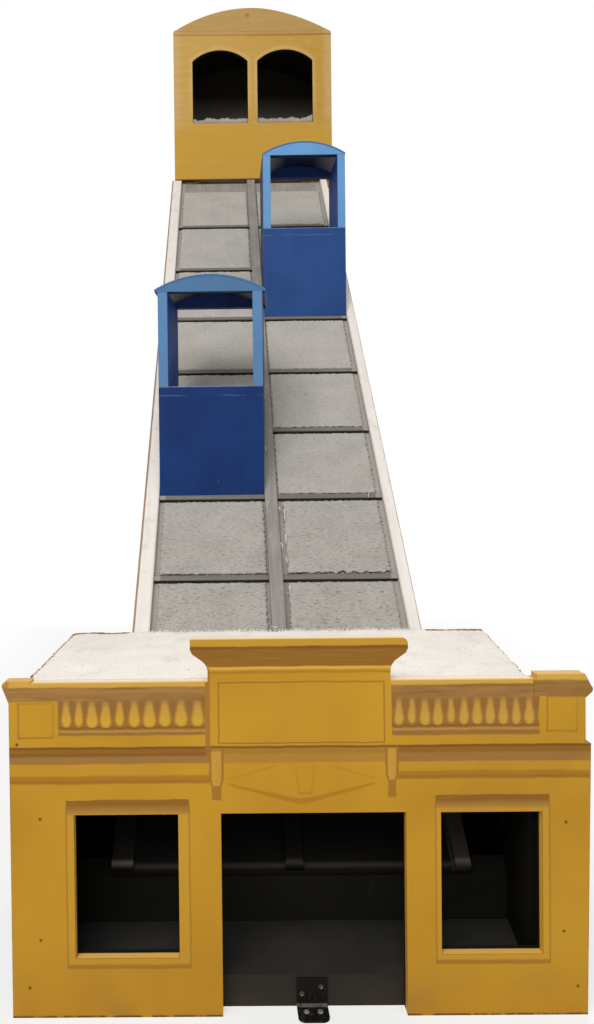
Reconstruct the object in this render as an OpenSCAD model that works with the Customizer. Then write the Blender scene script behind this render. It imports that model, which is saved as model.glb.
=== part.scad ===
// Pet house in the form of a toy funicular railway: a lower station, a carpeted ramp with two
// fixed cars and an upper station on a post frame. Millimetres, +Z up, the front looks along -Y.
// Inside the modules Y is counted from the front face of the lower station's front board.

/* [Boards] */
// Thickness of the plywood boards
board = 18; // [12:1:22]
// Thickness of the bent roof sheets
sheet = 4; // [3:0.5:6]
// Clearance where a sloping face seats on another
seat = 0.2; // [0.1:0.1:0.5]

/* [Lower station] */
// Width of the front board
front_w = 660; // [600:5:740]
// Height of the front board's wings
wing_h = 386; // [360:2:420]
// Height of the left end pier above the wings
left_pier_up = 2.5; // [0:0.5:8]
// Height of the right end pier above the wings
right_pier_up = 5.5; // [0:0.5:8]
// Width of the left pier's raised top
left_pier_w = 25; // [15:1:60]
// Width of the right pier's raised top
right_pier_w = 56; // [15:1:60]
// How far each end of the wing cornice stands out
cornice_out = 7.5; // [4:0.5:12]
// Height of the wing cornice
cornice_h = 25; // [16:1:30]
// Radius of the cornice's nose
cornice_r = 5; // [3:0.5:7]
// How far the right pier is cut back above the band
pier_step = 1; // [0:0.5:8]
// How far the right side leans out between the floor and the band
band_out = 5; // [0:0.5:7]
// Height of the band that the piers stand on
pier_z = 312; // [300:1:320]
// Sideways place of the attic's middle
attic_x = 3; // [-20:1:20]
// Width of the attic's neck
attic_w = 209; // [180:1:240]
// Height of the attic above the wings
attic_h = 48.5; // [40:0.5:60]
// How far the attic's cornice stands out on each side
attic_out = 20; // [12:1:26]
// Height of the sloping side under the attic's fascia
attic_slope = 24; // [16:1:30]
// Height of the attic's top fascia
attic_fascia = 11.5; // [8:0.5:14]
// Sideways place of the door's middle
door_x = 18; // [0:1:20]
// Width of the door opening
door_w = 212; // [180:1:220]
// Height of the door opening
door_h = 235; // [215:1:250]
// Sideways place of the left window's middle
left_window_x = -197; // [-205:1:-190]
// Width of the left window
left_window_w = 120; // [100:1:124]
// Sideways place of the right window's middle
right_window_x = 221.5; // [210:0.5:226]
// Width of the right window
right_window_w = 116; // [100:1:124]
// Height of the left window's lower edge
left_window_z = 68; // [60:1:90]
// Height of the right window's lower edge
right_window_z = 70; // [60:1:90]
// Height of the windows' upper edges
window_top = 234.5; // [220:0.5:245]
// How far the side walls stand in from the front board's ends
wall_inset = 2; // [0:0.5:10]
// How far the slanting right wall stands further in at its front end
wall_slant = 40; // [0:1:44]
// How far the roof's right edge stands further in at its front end
roof_slant = 45; // [0:1:50]
// Height of the wings above the roof board
parapet_h = 18; // [12:1:30]
// Thickness of the roof's carpet
carpet_t = 8; // [5:0.5:12]
// Height of the bearers under the floor
bearer_h = 20; // [15:1:30]

/* [Floor bracket] */
// Sideways place of the steel angle's middle
bracket_x = 16; // [0:1:20]
// Width of the steel angle at the door sill
bracket_w = 36; // [30:1:50]
// Thickness of the steel
bracket_t = 2.5; // [2:0.5:4]
// Height of its upright leaf
bracket_h = 34; // [30:1:37]
// How far its foot reaches out from the sill
bracket_reach = 30; // [26:1:40]
// Corner radius of the foot
bracket_r = 8; // [3:0.5:10]
// Distance between the two floor screws
screw_pitch = 16; // [14:0.5:20]
// Diameter of the screw holes
screw_d = 4.5; // [4:0.1:5]

/* [Ramp] */
// Slope of the ramp in degrees
ramp_angle = 45; // [42:0.5:48]
// Length of the ramp board
ramp_len = 1980; // [1900:5:2050]
// Width of the ramp board
ramp_w = 463; // [440:1:500]
// Distance of the ramp's lower end from the front
ramp_foot_y = 118; // [105:1:130]
// Height of the ramp board's top edge at its lower end
ramp_foot_z = 110; // [95:1:125]
// Width of the white left rail
left_rail_w = 28; // [18:1:32]
// Width of the white right rail
right_rail_w = 20; // [16:1:28]
// Height of the rails and the strip above the board
rail_h = 12; // [9:0.5:16]
// Sideways place of the strip between the lanes
strip_x = 4.5; // [-6:0.5:6]
// Width of the strip between the lanes
strip_w = 23; // [18:1:28]
// Distances along the slope to the battens' lower edges
batten_rows = [468, 657.5, 845, 1040, 1245, 1470, 1696];
// Width of a batten
batten_w = 12; // [10:1:20]
// Height of a batten above the board
batten_h = 8; // [7:0.5:12]
// Distance along the slope to the lower edge of the first tile
first_tile = 291; // [280:1:300]
// Distance along the slope to the upper edge of the last tile
last_tile = 1916; // [1880:1:1960]
// Thickness of the carpet tiles
tile_t = 7; // [4:0.5:8]
// Gap between a tile and the batten above it, and beside the strip
tile_gap = 2; // [1:0.5:6]
// Gap between a tile and the batten below it
tile_foot_gap = 6; // [1:0.5:10]
// Bare board left between a tile and its rail
tile_margin = 8; // [4:1:14]

/* [Cars] */
// Width of a car
car_w = 195; // [188:0.5:195]
// Depth of a car from front to back
car_d = 160; // [140:2:180]
// Height of the low car's front from the ramp to the eaves
low_car_h = 380; // [350:5:410]
// Height of the high car's front from the ramp to the eaves
high_car_h = 382; // [350:2:410]
// Height of the low car's blue front panel
low_panel_h = 204; // [180:2:220]
// Height of the high car's blue front panel
high_panel_h = 210; // [180:2:220]
// Rise of the arched gables
gable_rise = 29; // [20:1:40]
// How far the low car's gables stand out past its side walls
low_gable_out = 6; // [0.5:0.5:8]
// How far the high car's gables stand out past its side walls
high_gable_out = 1; // [0.5:0.5:8]
// How far a car's front stands above its batten's lower edge
car_set = 10.5; // [6:0.5:12]
// How far the low car's sides turn to the right on their way back, in degrees
low_car_turn = 3.6; // [0:0.2:5]
// How far the high car's sides turn to the right on their way back, in degrees
high_car_turn = 0; // [0:0.2:5]
// Batten that the low car stands on
low_row = 1; // [1:1:2]
// Batten that the high car stands on
high_row = 4; // [3:1:5]

/* [Upper station] */
// Sideways place of the upper station's middle
upper_x = 13; // [0:1:16]
// Width of the upper station
upper_w = 474; // [450:2:500]
// Depth of the upper station
upper_d = 360; // [320:5:420]
// Height of its eaves above its lower edge
upper_eaves = 440; // [425:5:470]
// Rise of its curved top
upper_rise = 73; // [55:1:90]
// Height of the arches' sill
arch_sill = 170; // [150:2:190]
// Height of the arches' springing
arch_spring = 355; // [330:5:370]
// Rise of the arches
arch_rise = 33; // [24:1:40]
// Width of an arched opening
arch_w = 166; // [150:2:172]
// Width of the post between the arches
arch_post = 29; // [24:1:36]
// Thickness of the carpet inside
nest_t = 30; // [15:1:36]
// Depth of the floor's top below the sill
nest_drop = 10; // [2:1:20]

/* [Post frame] */
// Width of the square posts
post_w = 44; // [34:1:60]
// Height of the rails between the posts
tie_h = 70; // [45:5:90]
// Thickness of the rails between the posts
tie_t = 22; // [16:1:30]
// Height of the low rails
tie_low = 150; // [100:10:250]
// Height of the middle rails
tie_mid = 850; // [700:10:1000]
// Depth of the bearer's lower edge below its seat
bearer_drop = 54; // [45:1:80]

/* [Hidden] */
$fn = 96;
// Bend of each half of the upper station's curved top: 2 is a parabola, 1 a straight gable
left_bend = 2.1;
right_bend = 1.75;
// How much higher the left end of the curved top starts
left_shoulder = 5;
pediment_steps = 16;
over = 1;

// Lower station
front_x = front_w / 2;
wall_x = front_x - wall_inset;
inner_x = wall_x - board;
right_pier_x = front_x - right_pier_w;
left_pier_x = front_x - left_pier_w;
roof_under = wing_h - parapet_h - board;
roof_top = wing_h - parapet_h;
floor_top = bearer_h + board;

// Ramp, with s along the slope from the foot and n square to the board's top
function ramp_y(s, n) = ramp_foot_y + s * cos(ramp_angle) - n * sin(ramp_angle);
function ramp_z(s, n) = ramp_foot_z + s * sin(ramp_angle) + n * cos(ramp_angle);
function slope_z(y, n) = ramp_foot_z + (y - ramp_foot_y) * tan(ramp_angle) + n / cos(ramp_angle);
function slope_y(z, n) = ramp_foot_y + (z - ramp_foot_z - n / cos(ramp_angle)) / tan(ramp_angle);
ramp_x = ramp_w / 2;
left_lane = [left_rail_w - ramp_x, strip_x - strip_w / 2];
right_lane = [strip_x + strip_w / 2, ramp_x - right_rail_w];
rail_top = rail_h + seat;
batten_top = batten_h + seat;
under = -board - seat;
wall_back = slope_y(roof_under, rail_top);
foot_board_y = ramp_y(0, -board);
last_row = len(batten_rows) - 1;

// Lower station's slanting right side, seen from above
function right_x(slant, y) = wall_x - slant * (wall_back - y) / (wall_back - board);

// Cars
low_car_x = (left_lane[0] + left_lane[1]) / 2;
high_car_x = (right_lane[0] + right_lane[1]) / 2;
function gable_half(out) = car_w / 2 + out;
function gable_r(out) = (gable_half(out) * gable_half(out) + gable_rise * gable_rise) / (2 * gable_rise);
function car_s(row) = batten_rows[row] + car_set;

// Upper station and its frame
upper_y = ramp_y(ramp_len, -board) + over - board;
upper_z = ramp_z(ramp_len, rail_h) + 2 * over;
upper_back_y = upper_y + upper_d;
upper_half = upper_w / 2;
eaves_z = upper_z + upper_eaves;
sill_z = upper_z + arch_sill;
nest_z = sill_z - nest_drop;
arch_r = (arch_w * arch_w / 4 + arch_rise * arch_rise) / (2 * arch_rise);
post_front_y = upper_y + board;
post_back_y = upper_back_y - board - post_w;
post_x = upper_half - board - post_w / 2;
bearer_y = post_front_y - post_w;

// The origin lies under the middle of the whole
front_reach = bracket_reach - board;
middle_y = (upper_back_y - front_reach) / 2;

// A flat outline in X and Z, t thick, from y towards the back
module sheet_y(y, t) {
    translate([0, y + t, 0]) rotate([90, 0, 0]) linear_extrude(t) children();
}

// A flat outline in Y and Z, t thick, from x towards the right
module sheet_x(x, t) {
    translate([x, 0, 0]) rotate([90, 0, 90]) linear_extrude(t) children();
}

// A bar on the ramp: x from a to b, s from c to d, h high
module ramp_bar(a, b, c, d, h) {
    translate([0, ramp_foot_y, ramp_foot_z]) rotate([ramp_angle, 0, 0])
        translate([a, c, 0]) cube([b - a, d - c, h]);
}

// A block between two corners
module block(low, high) {
    translate(low) cube(high - low);
}

// The left wing of the front board, drawn to the right: a round nose over a straight slope
module left_wing() {
    top = wing_h + left_pier_up;
    nose_x = front_x + cornice_out - cornice_r;
    nose_z = top - cornice_r;
    square([front_x, wing_h]);
    translate([nose_x, nose_z]) circle(cornice_r);
    polygon([
        [left_pier_x, top - cornice_h], [front_x, top - cornice_h],
        [nose_x + cornice_r * cos(30), nose_z - cornice_r * sin(30)],
        [nose_x, top], [left_pier_x, top]
    ]);
}

// The right wing, cut back above the band: a sloping shoulder over a blunt, rounded nose
module right_wing() {
    top = wing_h + right_pier_up;
    side = front_x - pier_step;
    nose_x = front_x + cornice_out - cornice_r;
    nose_z = top - cornice_h / 2 - cornice_r;
    foot_z = nose_z - 2 * cornice_r;
    polygon([[0, 0], [front_x, 0], [front_x + band_out, pier_z], [0, pier_z]]);
    square([side, wing_h]);
    translate([nose_x, nose_z]) circle(cornice_r);
    polygon([
        [right_pier_x, foot_z], [side, foot_z],
        [nose_x + cornice_r * cos(45), nose_z - cornice_r * sin(45)],
        [nose_x + cornice_r, nose_z], [side, top], [right_pier_x, top]
    ]);
}

// The attic's right side from foot to top: a slope that starts in a small hollow carries the fascia
function attic_side(corner) =
    let(
        top = wing_h + attic_h,
        fascia_z = top - attic_fascia,
        foot_z = fascia_z - attic_slope,
        half = attic_w / 2,
        out = half + attic_out,
        hollow = attic_out / 4
    ) [
        [half, pier_z], [half, foot_z], [half + hollow / 4, foot_z + hollow],
        [half + hollow, foot_z + 2 * hollow], [out - hollow / 2, fascia_z - hollow], [out, fascia_z],
        [out, top - corner], [out - corner / 3, top - corner / 3], [out - corner, top]
    ];

function mirrored(points) = [for (i = [len(points) - 1 : -1 : 0]) [-points[i][0], points[i][1]]];

// The attic over the door, with a rounded corner on the right
module attic() {
    translate([attic_x, 0]) polygon(concat(attic_side(cornice_r), mirrored(attic_side(over))));
}

module opening(x, w, z, top) {
    translate([x - w / 2, z]) square([w, top - z]);
}

module station_front() {
    color("goldenrod") sheet_y(0, board) difference() {
        union() {
            right_wing();
            mirror([1, 0]) left_wing();
            attic();
        }
        opening(door_x, door_w, -over, door_h);
        opening(left_window_x, left_window_w, left_window_z, window_top);
        opening(right_window_x, right_window_w, right_window_z, window_top);
    }
}

module station_left_wall() {
    color("midnightblue") block([-wall_x, board, 0], [-inner_x, wall_back, roof_under]);
}

module station_right_wall() {
    color("midnightblue") linear_extrude(roof_under) polygon([
        [right_x(wall_slant, board) - board, board], [right_x(wall_slant, board), board],
        [wall_x, wall_back], [inner_x, wall_back]
    ]);
}

// Keeps what lies between the station's walls
module between_walls() {
    intersection() {
        children();
        linear_extrude(roof_under) polygon([
            [-inner_x, board], [right_x(wall_slant, board) - board, board],
            [inner_x, wall_back], [-inner_x, wall_back]
        ]);
    }
}

// The back board, notched where the ramp comes in
module station_back_wall() {
    notch_z = slope_z(wall_back - board, under);
    color("midnightblue") between_walls() sheet_y(wall_back - board, board) difference() {
        translate([-inner_x, 0]) square([2 * inner_x, roof_under]);
        translate([-ramp_x - seat, notch_z]) square([ramp_w + 2 * seat, roof_under]);
    }
}

module station_floor() {
    color("dimgray") between_walls()
        block([-inner_x, board, bearer_h], [inner_x, wall_back - board, floor_top]);
}

module station_floor_bearers() {
    for (y = [board, wall_back - 2 * board])
        color("dimgray") between_walls() block([-inner_x, y, 0], [inner_x, y + board, bearer_h]);
}

// A layer on the roof: its back edge is cut to lie on the rails, its right edge slants
module roof_layer(z, t) {
    back = slope_y(z + t, rail_top) + over;
    intersection() {
        sheet_x(-wall_x, 3 * wall_x) polygon([
            [board, z], [slope_y(z, rail_top), z], [slope_y(z + t, rail_top), z + t], [board, z + t]
        ]);
        linear_extrude(z + 2 * t) polygon([
            [-wall_x, board], [right_x(roof_slant, board), board],
            [right_x(roof_slant, back), back], [-wall_x, back]
        ]);
    }
}

module station_roof() {
    color("sienna") roof_layer(roof_under, board);
}

module station_roof_carpet() {
    color("ivory") roof_layer(roof_top, carpet_t);
}

// The steel angle on the door sill, its foot drilled for two floor screws
module floor_bracket() {
    low = [bracket_x - bracket_w / 2, board - bracket_t, 0];
    foot_y = board - bracket_reach;
    color("black") {
        block(low, [bracket_x + bracket_w / 2, board, bracket_h]);
        translate([bracket_x, 0, 0]) linear_extrude(bracket_t) difference() {
            union() {
                translate([-bracket_w / 2, foot_y + bracket_r])
                    square([bracket_w, bracket_reach - bracket_r]);
                translate([-bracket_w / 2 + bracket_r, foot_y])
                    square([bracket_w - 2 * bracket_r, bracket_reach]);
                for (side = [-1, 1])
                    translate([side * (bracket_w / 2 - bracket_r), foot_y + bracket_r]) circle(bracket_r);
            }
            for (side = [-1, 1])
                translate([side * screw_pitch / 2, board - bracket_reach / 2]) circle(d = screw_d);
        }
    }
}

// The upright board under the ramp's lower end, its top cut to the slope
module ramp_foot_board() {
    front = foot_board_y;
    back = foot_board_y + board;
    color("dimgray") between_walls() sheet_x(-inner_x, 2 * inner_x) polygon([
        [front, floor_top], [back, floor_top], [back, slope_z(back, under)], [front, slope_z(front, under)]
    ]);
}

module ramp_board() {
    color("gray") translate([0, ramp_foot_y, ramp_foot_z]) rotate([ramp_angle, 0, 0])
        translate([-ramp_x, 0, -board]) cube([ramp_w, ramp_len, board]);
}

module ramp_rail_left() {
    color("white") ramp_bar(-ramp_x, left_lane[0], 0, ramp_len, rail_h);
}

module ramp_rail_right() {
    color("white") ramp_bar(right_lane[1], ramp_x, 0, ramp_len, rail_h);
}

module ramp_centre_strip() {
    color("darkgray") ramp_bar(left_lane[1], right_lane[0], 0, ramp_len, rail_h);
}

// The battens across a lane
module lane_battens(lane) {
    for (s = batten_rows) ramp_bar(lane[0], lane[1], s, s + batten_w, batten_h);
}

// Where the tile of a row starts and ends: one below each batten and one above the last
function tile_start(row) = row == 0 ? first_tile : batten_rows[row - 1] + batten_w + tile_foot_gap;
function tile_end(row) = row > last_row ? last_tile : batten_rows[row] - tile_gap;

// The carpet tiles between two distances from the ramp's middle
module lane_tiles(a, b) {
    for (row = [0 : last_row + 1]) ramp_bar(a, b, tile_start(row), tile_end(row), tile_t);
}

module ramp_battens_left() {
    color("gray") lane_battens(left_lane);
}

module ramp_battens_right() {
    color("gray") lane_battens(right_lane);
}

module ramp_tiles_left() {
    color("silver") lane_tiles(left_lane[0] + tile_margin, left_lane[1] - tile_gap);
}

module ramp_tiles_right() {
    color("silver") lane_tiles(right_lane[0] + tile_gap, right_lane[1] - tile_margin);
}

// The bar on the front posts that the ramp's upper end lies on
module ramp_bearer() {
    low_z = slope_z(bearer_y, under) - bearer_drop;
    color("burlywood") sheet_x(upper_x - post_x - post_w / 2, 2 * post_x + post_w) polygon([
        [bearer_y, low_z], [post_front_y, low_z],
        [post_front_y, slope_z(post_front_y, under)], [bearer_y, slope_z(bearer_y, under)]
    ]);
}

// Front face and lower front edge of the car that stands on a batten
function car_y(row) = ramp_y(car_s(row), batten_top);
function car_z(row) = ramp_z(car_s(row), batten_top);

module car_panel(row, x, panel_h) {
    y = car_y(row);
    top = car_z(row) + panel_h;
    color("royalblue") sheet_x(x - car_w / 2, car_w) polygon([
        [y, car_z(row)], [y + board, slope_z(y + board, batten_top)], [y + board, top], [y, top]
    ]);
}

// A side wall stands behind the panel below, shows its edge beside the window above and clears the strip
module car_wall(row, x, panel_h, car_h, turn) {
    y = car_y(row);
    back = y + car_d;
    sill = car_z(row) + panel_h;
    eaves = car_z(row) + car_h;
    color("navy") difference() {
        intersection() {
            sheet_x(x - board, 3 * board) polygon([
                [y + board, slope_z(y + board, batten_top)], [back, slope_z(back, batten_top)],
                [back, eaves], [y, eaves], [y, sill], [y + board, sill]
            ]);
            translate([x, y, 0]) rotate([0, 0, -turn]) translate([0, -board, 0])
                cube([board, car_d + 2 * board, eaves + over]);
        }
        ramp_bar(left_lane[1] - seat, right_lane[0] + seat, 0, ramp_len, rail_top);
    }
}

// A run of an outline at the eaves, turned with the car's sides: start behind the front, depth deep
module car_run(row, x, eaves, turn, start, depth) {
    y = car_y(row);
    intersection() {
        translate([x, y, eaves]) rotate([0, 0, -turn]) sheet_y(-board, car_d + 2 * board) children();
        block([x - car_w, y + start, eaves], [x + car_w, y + start + depth, eaves + 2 * gable_rise]);
    }
}

// The space under an arch raised by t, above the eaves
module car_segment(out, t) {
    intersection() {
        translate([0, gable_rise - gable_r(out)]) circle(gable_r(out) + t);
        translate([-gable_half(out), 0]) square([2 * gable_half(out), 2 * gable_rise + sheet]);
    }
}

// The thin sheet bent over both gables
module car_bend(out) {
    difference() {
        car_segment(out, sheet);
        translate([0, gable_rise - gable_r(out)]) circle(gable_r(out));
    }
}

low_eaves = car_z(low_row) + low_car_h;
high_eaves = car_z(high_row) + high_car_h;

module low_car_panel() {
    car_panel(low_row, low_car_x, low_panel_h);
}

module low_car_left_wall() {
    car_wall(low_row, low_car_x - car_w / 2, low_panel_h, low_car_h, low_car_turn);
}

module low_car_right_wall() {
    car_wall(low_row, low_car_x + car_w / 2 - board, low_panel_h, low_car_h, low_car_turn);
}

module low_car_run(start, depth) {
    car_run(low_row, low_car_x, low_eaves, low_car_turn, start, depth) children();
}

module low_car_front_gable() {
    color("cornflowerblue") low_car_run(0, board) car_segment(low_gable_out, 0);
}

module low_car_rear_gable() {
    color("cornflowerblue") low_car_run(car_d - board, board) car_segment(low_gable_out, 0);
}

module low_car_roof() {
    color("midnightblue") low_car_run(0, car_d) car_bend(low_gable_out);
}

module high_car_panel() {
    car_panel(high_row, high_car_x, high_panel_h);
}

module high_car_left_wall() {
    car_wall(high_row, high_car_x - car_w / 2, high_panel_h, high_car_h, high_car_turn);
}

module high_car_right_wall() {
    car_wall(high_row, high_car_x + car_w / 2 - board, high_panel_h, high_car_h, high_car_turn);
}

module high_car_run(start, depth) {
    car_run(high_row, high_car_x, high_eaves, high_car_turn, start, depth) children();
}

module high_car_front_gable() {
    color("cornflowerblue") high_car_run(0, board) car_segment(high_gable_out, 0);
}

module high_car_rear_gable() {
    color("cornflowerblue") high_car_run(car_d - board, board) car_segment(high_gable_out, 0);
}

module high_car_roof() {
    color("midnightblue") high_car_run(0, car_d) car_bend(high_gable_out);
}

// Height of the curved top above the eaves at x from its middle
function pediment(x) = x < 0
    ? left_shoulder + (upper_rise - left_shoulder) * (1 - pow(-x / upper_half, left_bend))
    : upper_rise * (1 - pow(x / upper_half, right_bend));

// The upper station's outline down to z, lowered at the top by drop
module pediment_outline(z, drop) {
    polygon(concat(
        [[-upper_half, z]],
        [for (i = [-pediment_steps : pediment_steps])
            let (x = i / pediment_steps * upper_half) [x, eaves_z + pediment(x) - drop]],
        [[upper_half, z]]
    ));
}

// One arched opening with its middle at x
module arch(x) {
    spring_z = upper_z + arch_spring;
    translate([x - arch_w / 2, sill_z]) square([arch_w, spring_z - sill_z]);
    intersection() {
        translate([x, spring_z + arch_rise - arch_r]) circle(arch_r);
        translate([x - arch_w / 2, spring_z - over]) square([arch_w, arch_rise + 2 * over]);
    }
}

module upper_front() {
    color("goldenrod") translate([upper_x, 0, 0]) sheet_y(upper_y, board) difference() {
        pediment_outline(upper_z, 0);
        for (side = [-1, 1]) arch(side * (arch_post + arch_w) / 2);
    }
}

// A side wall, its top cut to the underside of the roof sheet
module upper_wall(x) {
    wall_d = upper_d - 2 * board;
    color("goldenrod") translate([upper_x, 0, 0]) sheet_y(upper_y + board, wall_d) intersection() {
        pediment_outline(upper_z, sheet);
        translate([x, upper_z]) square([board, upper_eaves + upper_rise]);
    }
}

module upper_left_wall() {
    upper_wall(-upper_half);
}

module upper_right_wall() {
    upper_wall(upper_half - board);
}

module upper_back() {
    color("goldenrod") translate([upper_x, 0, 0]) sheet_y(upper_back_y - board, board)
        pediment_outline(upper_z, 0);
}

module upper_roof() {
    color("sienna") translate([upper_x, 0, 0]) sheet_y(upper_y + board, upper_d - 2 * board) difference() {
        pediment_outline(eaves_z - sheet, 0);
        pediment_outline(eaves_z - 2 * sheet, sheet);
    }
}

// A flat layer between the upper station's walls
module upper_layer(z, t) {
    half = upper_half - board;
    block([upper_x - half, upper_y + board, z], [upper_x + half, upper_back_y - board, z + t]);
}

module upper_floor() {
    color("burlywood") upper_layer(nest_z - board, board);
}

module upper_carpet() {
    color("ivory") upper_layer(nest_z, nest_t);
}

module tower_posts() {
    for (side = [-1, 1], y = [post_front_y, post_back_y])
        color("burlywood") translate([upper_x + side * post_x - post_w / 2, y, 0])
            cube([post_w, post_w, nest_z - board]);
}

// The rails from front to back, two on each side
module tower_side_ties() {
    for (side = [-1, 1], z = [tie_low, tie_mid])
        color("burlywood") translate([upper_x + side * post_x - tie_t / 2, post_front_y + post_w, z])
            cube([tie_t, post_back_y - post_front_y - post_w, tie_h]);
}

// The rails from side to side, one in front and two behind
module tower_cross_ties() {
    inset = (post_w - tie_t) / 2;
    for (place = [[post_front_y, tie_low], [post_back_y, tie_low], [post_back_y, tie_mid]])
        color("burlywood") translate([upper_x - post_x + post_w / 2, place[0] + inset, place[1]])
            cube([2 * post_x - post_w, tie_t, tie_h]);
}

// Moves a piece from the front board's frame to the origin under the middle
module placed() {
    translate([0, -middle_y, 0]) children();
}

placed() station_front();
placed() station_left_wall();
placed() station_right_wall();
placed() station_back_wall();
placed() station_floor();
placed() station_floor_bearers();
placed() station_roof();
placed() station_roof_carpet();
placed() floor_bracket();
placed() ramp_foot_board();
placed() ramp_board();
placed() ramp_rail_left();
placed() ramp_rail_right();
placed() ramp_centre_strip();
placed() ramp_battens_left();
placed() ramp_battens_right();
placed() ramp_tiles_left();
placed() ramp_tiles_right();
placed() ramp_bearer();
placed() low_car_panel();
placed() low_car_left_wall();
placed() low_car_right_wall();
placed() low_car_front_gable();
placed() low_car_rear_gable();
placed() low_car_roof();
placed() high_car_panel();
placed() high_car_left_wall();
placed() high_car_right_wall();
placed() high_car_front_gable();
placed() high_car_rear_gable();
placed() high_car_roof();
placed() upper_front();
placed() upper_left_wall();
placed() upper_right_wall();
placed() upper_back();
placed() upper_floor();
placed() upper_roof();
placed() upper_carpet();
placed() tower_posts();
placed() tower_side_ties();
placed() tower_cross_ties();
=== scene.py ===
# %% [markdown]
# This lesson dresses a home-made wooden toy: a small funicular railway to climb on, with a lower station,
# a carpeted ramp, two boxes shaped like cars and an upper station. Its boards come in as finished solids,
# so each one is already in its place and keeps its size. Paint, wear, carpet and light are left for here.

# %% Load the boards
import math

import bmesh
import bpy
import numpy as np
from mathutils import Matrix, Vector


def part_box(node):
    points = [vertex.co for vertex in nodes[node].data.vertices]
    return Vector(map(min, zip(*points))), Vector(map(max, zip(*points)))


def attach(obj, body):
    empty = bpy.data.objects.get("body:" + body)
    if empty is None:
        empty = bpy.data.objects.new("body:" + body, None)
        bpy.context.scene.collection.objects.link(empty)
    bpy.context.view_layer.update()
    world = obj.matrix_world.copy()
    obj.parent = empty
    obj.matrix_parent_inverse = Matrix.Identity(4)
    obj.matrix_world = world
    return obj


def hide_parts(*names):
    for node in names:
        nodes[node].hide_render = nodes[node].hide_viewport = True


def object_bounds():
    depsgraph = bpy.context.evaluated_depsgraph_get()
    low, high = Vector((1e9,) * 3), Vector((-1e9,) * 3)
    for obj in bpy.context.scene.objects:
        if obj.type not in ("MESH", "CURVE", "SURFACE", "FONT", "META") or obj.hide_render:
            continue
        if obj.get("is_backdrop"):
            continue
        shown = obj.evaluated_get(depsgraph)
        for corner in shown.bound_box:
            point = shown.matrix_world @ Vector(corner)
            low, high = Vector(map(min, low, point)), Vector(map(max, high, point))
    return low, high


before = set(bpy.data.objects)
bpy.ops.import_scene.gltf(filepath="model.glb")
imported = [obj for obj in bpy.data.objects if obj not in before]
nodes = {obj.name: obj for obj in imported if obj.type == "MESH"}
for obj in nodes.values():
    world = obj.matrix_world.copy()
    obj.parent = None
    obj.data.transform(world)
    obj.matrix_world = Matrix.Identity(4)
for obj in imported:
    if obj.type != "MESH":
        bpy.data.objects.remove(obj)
cad_low, cad_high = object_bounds()
MM = 0.001
FRONT_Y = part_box("station_front")[0].y
print(len(nodes), "boards in a box of", [round(b - a, 3) for a, b in zip(cad_low, cad_high)], "m")

# %% [markdown]
# The toy is seen from low in front of the station. A camera could be placed by eye until the outlines agree.
# Here its place and turn were solved from the corners of the boards instead, so a mark measured on a board
# falls within a few pixels of where the picture shows it.

# %% Camera
IMAGE_W, IMAGE_H = 594, 1024
SENSOR = 36.0
FOCAL_PX = 800.0
AXIS_PX = (221.5, 490.66)
CAMERA_MM = (-76.33, -910.95, 617.83)  # Y counted from the front board's face
YAW, PITCH, ROLL = np.radians([-0.4267, 0.8159, -0.6526])

forward = np.array([np.sin(YAW) * np.cos(PITCH), np.cos(YAW) * np.cos(PITCH), -np.sin(PITCH)])
right = np.array([np.cos(YAW), -np.sin(YAW), 0.0])
up = np.cross(right, forward)
turn = np.eye(4)
turn[:3, 0] = np.cos(ROLL) * right + np.sin(ROLL) * up
turn[:3, 1] = np.cos(ROLL) * up - np.sin(ROLL) * right
turn[:3, 2] = -forward
turn[:3, 3] = np.array(CAMERA_MM) * MM + (0.0, FRONT_Y, 0.0)

camera = bpy.data.objects.new("camera", bpy.data.cameras.new("camera"))
camera.data.sensor_width = SENSOR
camera.data.lens = FOCAL_PX / IMAGE_H * SENSOR
camera.data.shift_x = (IMAGE_W / 2 - AXIS_PX[0]) / IMAGE_H
camera.data.shift_y = (AXIS_PX[1] - IMAGE_H / 2) / IMAGE_H
camera.data.clip_start, camera.data.clip_end = 0.05, 100.0
camera.matrix_world = Matrix(turn.tolist())
bpy.context.scene.collection.objects.link(camera)
bpy.context.scene.camera = camera
print("camera at", [round(float(v), 3) for v in turn[:3, 3]], "lens", round(camera.data.lens, 2))

# %% [markdown]
# A painted surface is mostly arithmetic: how far is this point from that line, and which colour lies there?
# Written with Blender's node calls, each plus sign takes four lines. This class wraps one socket, so that
# sums are written as sums and every other node comes from one method.

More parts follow.
